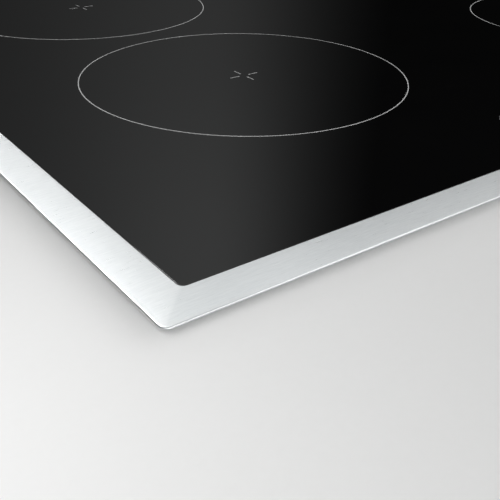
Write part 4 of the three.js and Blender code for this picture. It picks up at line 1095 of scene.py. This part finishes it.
def screw_mesh(head_r, head_h, shank_r, length, cross=True, thread=0.9):
    """Pan head screw: head up from z 0, shank down; a cross recess and a raised thread."""
    hd = lathe_mesh([(0, 0), (head_r * 0.98, 0), (head_r, 0.15 * head_h), (head_r * 0.96, 0.45 * head_h), (head_r * 0.8, 0.78 * head_h), (head_r * 0.5, 0.95 * head_h), (0, head_h)], 0, 0, 40)
    if cross:
        d = head_h * 0.62
        for rot in (0, math.pi / 2):
            hd = boolean(hd, move(soft_box(-head_r * 0.52, head_r * 0.52, -head_r * 0.10, head_r * 0.10, head_h - d, head_h + 1, 0.0), Matrix.Rotation(rot, 4, "Z")))
    prof3 = [(0, -length)]
    core = shank_r * 0.78
    prof3 += [(core * 0.5, -length + 0.3), (core, -length + shank_r)]
    z = -length + shank_r
    while z + thread < -0.6:
        prof3 += [(core, z + thread * 0.3), (shank_r, z + thread * 0.6), (core, z + thread * 0.95)]
        z += thread
    prof3 += [(core, 0.02), (0, 0.02)]
    return merge("screw", [hd, lathe_mesh(prof3, 0, 0, 28)])


for n_, x in (("left", 214), ("right", 242)):
    s_ = screw_mesh(3.4, 2.2, 1.45, 13.0)
    add("clamp_screw_pan_" + n_, place(s_, (0, 0, -1), (x, 227.5, 5.4)), "zinc_screw", "clamp_screw_" + n_)
add("inlet_grommet", place(lathe_mesh([(7.6, -3.9), (7.9, -4.2), (10.6, -4.2), (11.1, -3.7), (11.1, -0.4), (10.6, 0.1), (13.2, 0.1), (13.6, 0.5), (13.4, 1.6), (12.4, 2.2), (8.4, 2.2), (7.6, 1.5)], 0, 0, 64),
                           (0, 1, 0), (228, hy + 0.1, 15)), "rubber", "cable_grommet")
# mains harness: three cores laid together
path = smooth_path([(157, 190.6, 20), (157, 178.9, 20), (157, 168, 20), (158, 140, 21), (163, 110, 24), (166, 84, 26), (168, 72, 24), (168, 72, 21.0)], 160)
fr = frames_along(path)
for i, key in enumerate(("wire_brown", "wire_blue", "wire_green")):
    strand = []
    for j, p in enumerate(path):
        a = 2 * math.pi * i / 3 + j * 0.11
        strand.append(p + fr[j][1] * (1.33 * math.cos(a)) + fr[j][2] * (1.33 * math.sin(a)))
    ob = add("mains_core_" + key[5:], sweep_mesh(strand, circle(1.15, 10)), key, "mains_harness" if i == 0 else (), smooth=60)

# ------------------------------------------------------------------ spring clips with rounded bends, and the housing screws
def filleted(points, radii, n=6):
    """Polyline with its corners rounded."""
    out2 = [Vector(points[0])]
    for i in range(1, len(points) - 1):
        p, a, b2 = Vector(points[i]), Vector(points[i - 1]), Vector(points[i + 1])
        r = radii[i] if isinstance(radii, dict) else radii
        da, db = (a - p), (b2 - p)
        ang = da.angle(db)
        tlen = min(r / math.tan(ang / 2), 0.48 * da.length, 0.48 * db.length)
        s0, s1 = p + da.normalized() * tlen, p + db.normalized() * tlen
        for j in range(n + 1):
            t = j / n
            out2.append((s0 * (1 - t) ** 2 + p * 2 * t * (1 - t) + s1 * t * t))
    out2.append(Vector(points[-1]))
    return out2


CLIP = [(-4.0, 41.4), (-4.0, 44.6), (1.2, 44.6), (8.6, 27.5), (9.4, 24.6), (8.8, 21.8), (6.4, 11.5)]
for fb, sy in (("front", -1), ("rear", 1)):
    for lr_, sx in (("left", -1), ("right", 1)):
        line = filleted(CLIP, 1.6, 6)
        t2 = 0.4
        left, rightp = [], []
        for i, p in enumerate(line):
            a, b2 = line[max(0, i - 1)], line[min(len(line) - 1, i + 1)]
            d2 = (b2 - a).normalized()
            n2 = Vector((-d2.y, d2.x))
            left.append(p + n2 * t2)
            rightp.append(p - n2 * t2)
        outline = left + list(reversed(rightp))
        yc = sy * 150
        me2 = mesh_of(*loft([[(sx * (hx + p.x), yc - 11, p.y) for p in outline], [(sx * (hx + p.x), yc + 11, p.y) for p in outline]]))
        hole = round_rect(4.5, 4.0, 1.5, 6, yc, 20)
        wx0, wx1 = (hx - 2, hx + 12)
        me2 = boolean(me2, mesh_of(*loft([[(sx * wx0, py, pz - 2.6) for py, pz in hole], [(sx * wx1, py, pz - 2.6) for py, pz in hole]])))
        add(f"clip_strip_{fb}_{lr_}", bevelled(me2, 0.12, 2, 50), "spring_steel", f"spring_clip_{fb}_{lr_}", body=f"clip_{fb}_{lr_}", smooth=45)
        s_ = screw_mesh(3.8, 2.4, 1.9, 8.2, thread=1.1)
        add(f"pan_screw_{fb}_{lr_}", place(s_, (0, sy, 0), (sx * 190, sy * (hy + 0.15), 42)), "zinc_screw", f"housing_screw_{fb}_{lr_}")

# ------------------------------------------------------------------ fired print on the glass: zone rings, centre crosses and a touch strip with generic signs
PZ0, PZ1 = GLASS_TOP + 0.002, GLASS_TOP + 0.028


def ring_mark(x, y, r, w2=0.55, a0=0.0, a1=360.0, n=128):
    outer3 = arc(x, y, r + w2 / 2, a0, a1, n)
    inner3 = arc(x, y, r - w2 / 2, a0, a1, n)
    if a1 - a0 >= 360:
        loops2 = [[(px, py, z) for px, py in pts5[:-1]] for pts5, z in ((inner3, PZ0), (outer3, PZ0), (outer3, PZ1), (inner3, PZ1))]
        return mesh_of(*loft(loops2, closed_profile=True))
    return mesh_of(*prism(outer3 + list(reversed(inner3)), PZ0, PZ1))


def bar_mark(x0, y0, x1, y1, w2=0.5):
    d2 = Vector((x1 - x0, y1 - y0))
    n2 = Vector((-d2.y, d2.x)).normalized() * (w2 / 2)
    return mesh_of(*prism([(x0 + n2.x, y0 + n2.y), (x0 - n2.x, y0 - n2.y), (x1 - n2.x, y1 - n2.y), (x1 + n2.x, y1 + n2.y)], PZ0, PZ1))


def digit_mark(text, x, y, size):
    cu = bpy.data.curves.new("digit", "FONT")
    cu.body = text
    cu.size = size * MM
    cu.align_x, cu.align_y = "CENTER", "CENTER"
    cu.extrude = (PZ1 - PZ0) / 2 * MM
    cu.resolution_u = 6
    o = bpy.data.objects.new("digit", cu)
    scene.collection.objects.link(o)
    dg = bpy.context.evaluated_depsgraph_get()
    me2 = bpy.data.meshes.new_from_object(o.evaluated_get(dg))
    bpy.data.objects.remove(o)
    bpy.data.curves.remove(cu)
    me2.transform(Matrix.Translation((x * MM, y * MM, (PZ0 + PZ1) / 2 * MM)))
    bm2 = bmesh.new()
    bm2.from_mesh(me2)
    bmesh.ops.remove_doubles(bm2, verts=bm2.verts, dist=1e-6)
    bmesh.ops.dissolve_degenerate(bm2, dist=4e-6, edges=bm2.edges)
    bmesh.ops.recalc_face_normals(bm2, faces=bm2.faces)
    bm2.to_mesh(me2)
    bm2.free()
    return me2


marks = []
for k in ZONES:
    x, y, ro = zc[k]
    marks.append(ring_mark(x, y, ro + 3.4))
    for dx, dy in ((1, 0), (0, 1)):
        for sgn in (-1, 1):
            marks.append(bar_mark(x + sgn * dx * 3, y + sgn * dy * 3, x + sgn * dx * 9, y + sgn * dy * 9))
add("zone_rings", merge("rings", marks), "print_grey", smooth=20)

marks = []
CY = -207.0
# power sign
marks.append(ring_mark(-74, CY, 3.4, 0.55, 120, 420, 40))
marks.append(bar_mark(-74, CY + 1.2, -74, CY + 4.8, 0.55))
# lock sign
marks.append(mesh_of(*prism(round_rect(2.9, 2.2, 0.5, 4, -56, CY - 1.3, 0), PZ0, PZ1)))
marks.append(ring_mark(-56, CY + 1.2, 1.9, 0.5, 0, 180, 20))
# four zone selectors: a small square frame with one of its four dots filled
for i, (qx, qy) in enumerate(((-1, -1), (-1, 1), (1, 1), (1, -1))):
    cx2 = -38 + i * 14.0
    loops2 = [[(px, py, z) for px, py in round_rect(h2, h2, r2, 4, cx2, CY, 0)] for h2, r2, z in ((4.3, 1.0, PZ0), (4.7, 1.4, PZ0), (4.7, 1.4, PZ1), (4.3, 1.0, PZ1))]
    marks.append(mesh_of(*loft(loops2, closed_profile=True)))
    for ax, ay in ((-1, -1), (-1, 1), (1, 1), (1, -1)):
        if (ax, ay) == (qx, qy):
            marks.append(mesh_of(*prism(arc(cx2 + ax * 2.0, CY + ay * 2.0, 1.15, 0, 360, 24)[:-1], PZ0, PZ1)))
        else:
            marks.append(ring_mark(cx2 + ax * 2.0, CY + ay * 2.0, 0.9, 0.3, 0, 360, 24))
# power scale
for i in range(10):
    px = 24 + i * 7.4
    marks.append(digit_mark(str(i), px, CY + 4.2, 4.2))
    marks.append(bar_mark(px, CY - 3.2, px, CY - 3.2 + 0.9 + i * 0.34, 0.6))
marks.append(bar_mark(22.5, CY - 4.2, 92.5, CY - 4.2, 0.4))
# timer sign with minus and plus at the right end
marks.append(ring_mark(114, CY, 3.6, 0.5, 0, 360, 48))
marks.append(bar_mark(114, CY - 0.2, 114, CY + 2.5, 0.5))
marks.append(bar_mark(113.8, CY, 116, CY, 0.5))
marks.append(bar_mark(101.0, CY, 106.0, CY, 0.6))
marks.append(bar_mark(122.5, CY, 127.5, CY, 0.6))
marks.append(bar_mark(125, CY - 2.5, 125, CY - 0.31, 0.6))
marks.append(bar_mark(125, CY + 0.31, 125, CY + 2.5, 0.6))
add("touch_signs", merge("signs", marks), "print_grey", smooth=20)

# ------------------------------------------------------------------ stage
def worktop():
    g = Graph("pale_worktop")
    slow = g.noise((3, 3, 3), detail=3)
    fine = g.noise((420, 420, 420), detail=3)
    g.set(base=g.ramp(g.math("ADD", g.math("MULTIPLY", slow, 0.7), g.math("MULTIPLY", fine, 0.3)),
                      [(0.3, (0.770, 0.768, 0.764)), (0.7, (0.800, 0.799, 0.796))]),
          rough=g.spread(fine, 0.55, 0.70), spec=0.25, normal=g.bump(fine, 0.04, 0.00005))
    return g.mat


FLOOR_Z = WORKTOP
outer = [(x, y, FLOOR_Z) for x, y in round_rect(1150, 1150, 60, 12)]
outer2 = [(x, y, FLOOR_Z - 6) for x, y in round_rect(1150, 1150, 60, 12)]
inner = [(x, y, FLOOR_Z) for x, y in round_rect(284.5, 246, 6, 12)]
inner2 = [(x, y, FLOOR_Z - 6) for x, y in round_rect(284.5, 246, 6, 12)]
v, f = loft([outer2, outer, inner, inner2], caps=False)
floor = make("worktop_surface", v, f, worktop(), body=None, smooth=0)

# ------------------------------------------------------------------ world: pale to the camera, a tall soft panel and dark elsewhere to the gloss
w = bpy.data.worlds.new("studio")
scene.world = w
w.use_nodes = True
wt = w.node_tree
wt.nodes.clear()
out = wt.nodes.new("ShaderNodeOutputWorld")


def wn(kind, **props):
    n = wt.nodes.new(kind)
    for k, val in props.items():
        setattr(n, k, val)
    return n


def wmath(op, a, b=None, clamp=False):
    n = wn("ShaderNodeMath", operation=op, use_clamp=clamp)
    for i, val in enumerate((a, b)):
        if val is None:
            continue
        if isinstance(val, (int, float)):
            n.inputs[i].default_value = val
        else:
            wt.links.new(val, n.inputs[i])
    return n.outputs[0]


geo = wn("ShaderNodeTexCoord")
sep = wn("ShaderNodeSeparateXYZ")
wt.links.new(geo.outputs["Generated"], sep.inputs[0])
az = wmath("MULTIPLY", wmath("ARCTAN2", sep.outputs["X"], sep.outputs["Y"]), 180 / math.pi)   # degrees from +Y towards +X
# one tall soft panel that peaks at PANEL_AZ: its right edge fades out over EDGE degrees, its left side falls off slowly
PANEL, PANEL_AZ, EDGE, LEFT_FALL, DARK = 0.0292, 32.9, 6.9, 24.0, 0.045
off_az = wmath("SUBTRACT", az, PANEL_AZ)
right_side = wmath("EXPONENT", wmath("MULTIPLY", wmath("POWER", wmath("DIVIDE", wmath("MAXIMUM", off_az, 0.0), EDGE), 2.0), -0.75))
left_side = wmath("ADD", wmath("MULTIPLY", wmath("EXPONENT", wmath("MULTIPLY", wmath("POWER", wmath("DIVIDE", wmath("MINIMUM", off_az, 0.0), LEFT_FALL * 0.5), 2.0), -1.0)), 0.55), 0.45)
falloff = wmath("MAXIMUM", wmath("MULTIPLY", right_side, left_side), DARK)
up = wmath("MAXIMUM", sep.outputs["Z"], 0.0)
fres = wmath("ADD", wmath("MULTIPLY", wmath("POWER", wmath("SUBTRACT", 1.0, up), 5.0), 0.96), 0.04)
panel = wmath("DIVIDE", wmath("MULTIPLY", falloff, PANEL), fres)
below = wmath("MULTIPLY", wmath("LESS_THAN", sep.outputs["Z"], 0.0), 0.75)
env = wmath("MAXIMUM", panel, below)
comb = wn("ShaderNodeCombineColor")
for i, k in enumerate((0.985, 1.0, 0.995)):
    wt.links.new(wmath("MULTIPLY", env, k), comb.inputs[i])
bg_env = wn("ShaderNodeBackground")
wt.links.new(comb.outputs[0], bg_env.inputs["Color"])
bg_cam = wn("ShaderNodeBackground")
bg_cam.inputs["Color"].default_value = (0.80, 0.80, 0.80, 1)
lp = wn("ShaderNodeLightPath")
mixs = wn("ShaderNodeMixShader")
wt.links.new(lp.outputs["Is Camera Ray"], mixs.inputs["Fac"])
wt.links.new(bg_env.outputs[0], mixs.inputs[1])
wt.links.new(bg_cam.outputs[0], mixs.inputs[2])
wt.links.new(mixs.outputs[0], out.inputs["Surface"])

# ------------------------------------------------------------------ lights
def area(name, loc, target, sx, sy, power, color=(1, 1, 1), spread=180, glossy=True, diffuse=True):
    d = bpy.data.lights.new(name, "AREA")
    d.shape = "RECTANGLE"
    d.size, d.size_y = sx, sy
    d.energy = power
    d.color = color
    d.spread = math.radians(spread)
    o = bpy.data.objects.new(name, d)
    scene.collection.objects.link(o)
    o.location = loc
    o.rotation_mode = "QUATERNION"
    o.rotation_quaternion = (Vector(target) - Vector(loc)).to_track_quat("-Z", "Y")
    o.visible_glossy = glossy
    o.visible_diffuse = diffuse
    o.visible_camera = False
    return o


def overhead(name, x0, x1, y0, y1, power, z=1.5):
    """Seen in the brushed metal and the gloss only; the pale surroundings are lit by the dome below."""
    return area(name, ((x0 + x1) / 2, (y0 + y1) / 2, z), ((x0 + x1) / 2, (y0 + y1) / 2, 0), x1 - x0, y1 - y0, power, diffuse=False)


def front_panel(name, x0, x1, z0, z1, power, y=-1.7):
    return area(name, ((x0 + x1) / 2, y, (z0 + z1) / 2), ((x0 + x1) / 2, 0, (z0 + z1) / 2), x1 - x0, z1 - z0, power, diffuse=False)


for i_, (x0, x1, y0, y1, watts) in enumerate((
        (-0.65, -0.40, 0.50, 1.00, 1.4), (-0.65, -0.40, 1.00, 1.56, 11.5), (-0.40, -0.15, 1.00, 1.56, 11.5), (-0.15, 0.10, 1.00, 1.56, 5.5),
        (0.10, 0.40, 0.50, 1.00, 0.45), (0.10, 0.40, 1.00, 1.56, 2.6), (0.40, 0.80, 0.50, 1.00, 0.7), (0.40, 0.80, 1.00, 1.56, 0.6),
        (0.80, 1.30, 0.55, 1.15, 2.0), (0.80, 1.30, 1.15, 1.56, 0.3), (1.30, 2.00, 0.55, 1.15, 2.7), (2.00, 3.00, 0.55, 1.15, 3.7), (-0.90, 0.80, -1.20, 0.40, 3.8),
        (0.60, 1.60, -1.00, -0.10, 5.9), (0.30, 1.60, -1.70, -1.00, 2.4))):
    overhead(f"overhead_{i_ + 1}", x0, x1, y0, y1, watts)
for i_, (x0, x1, z0, z1, watts) in enumerate(((-1.4, -0.2, 0.08, 0.5, 15.0), (-0.2, 1.0, 0.5, 1.1, 10.0), (1.0, 2.6, 0.08, 0.5, 3.1), (1.0, 2.6, 0.5, 1.1, 8.7), (0.3, 1.6, 1.1, 1.5, 2.2))):
    front_panel(f"front_panel_{i_ + 1}", x0, x1, z0, z1, watts)

# soft walls that light the pale surroundings and the inside; unseen in the gloss
CX, CY2, HALF = -0.1, -0.1, 1.6
for n_, dx, dy, z0, z1, watts in (("right_low", 1, 0, 0.3, 0.7, 21.5), ("right_high", 1, 0, 0.7, 1.65, 13.0), ("front_floor", 0, -1, 0.03, 0.3, 25.5),
                                  ("front_low", 0, -1, 0.3, 0.7, 8.6), ("front_high", 0, -1, 0.7, 1.65, 19.8), ("rear_low", 0, 1, 0.3, 0.7, 5.6)):
    area("wall_" + n_, (CX + dx * HALF, CY2 + dy * HALF, (z0 + z1) / 2), (CX, CY2, (z0 + z1) / 2), 2 * HALF, z1 - z0, watts, glossy=False)
area("pool_left_front", (-0.40, -0.27, 0.20), (-0.40, -0.27, 0), 0.14, 0.14, 0.135, glossy=False)
area("pool_left", (-0.37, -0.14, 0.20), (-0.37, -0.14, 0), 0.14, 0.14, 0.035, glossy=False)


# ------------------------------------------------------------------ camera
cam_data = bpy.data.cameras.new("camera")
cam = bpy.data.objects.new("camera", cam_data)
scene.collection.objects.link(cam)
scene.camera = cam
AZ, EL, ROLL = math.radians(36.6888), math.radians(30.5244), math.radians(0.948)
fwd = Vector((math.sin(AZ) * math.cos(EL), math.cos(AZ) * math.cos(EL), -math.sin(EL)))
r0 = Vector((math.cos(AZ), -math.sin(AZ), 0))
u0 = r0.cross(fwd)
right = r0 * math.cos(ROLL) + u0 * math.sin(ROLL)
upv = u0 * math.cos(ROLL) - r0 * math.sin(ROLL)
m = Matrix((right, upv, -fwd)).transposed()
cam.rotation_mode = "QUATERNION"
cam.rotation_quaternion = m.to_quaternion()
cam.location = Vector((-371.7452, -404.0076, 178.41)) * MM
cam_data.sensor_width = 36.0
cam_data.lens = 53.582
cam_data.clip_start, cam_data.clip_end = 0.01, 60

scene.view_settings.view_transform = "Standard"
scene.view_settings.look = "None"
scene.view_settings.exposure = 0.0
scene.view_settings.gamma = 1.0
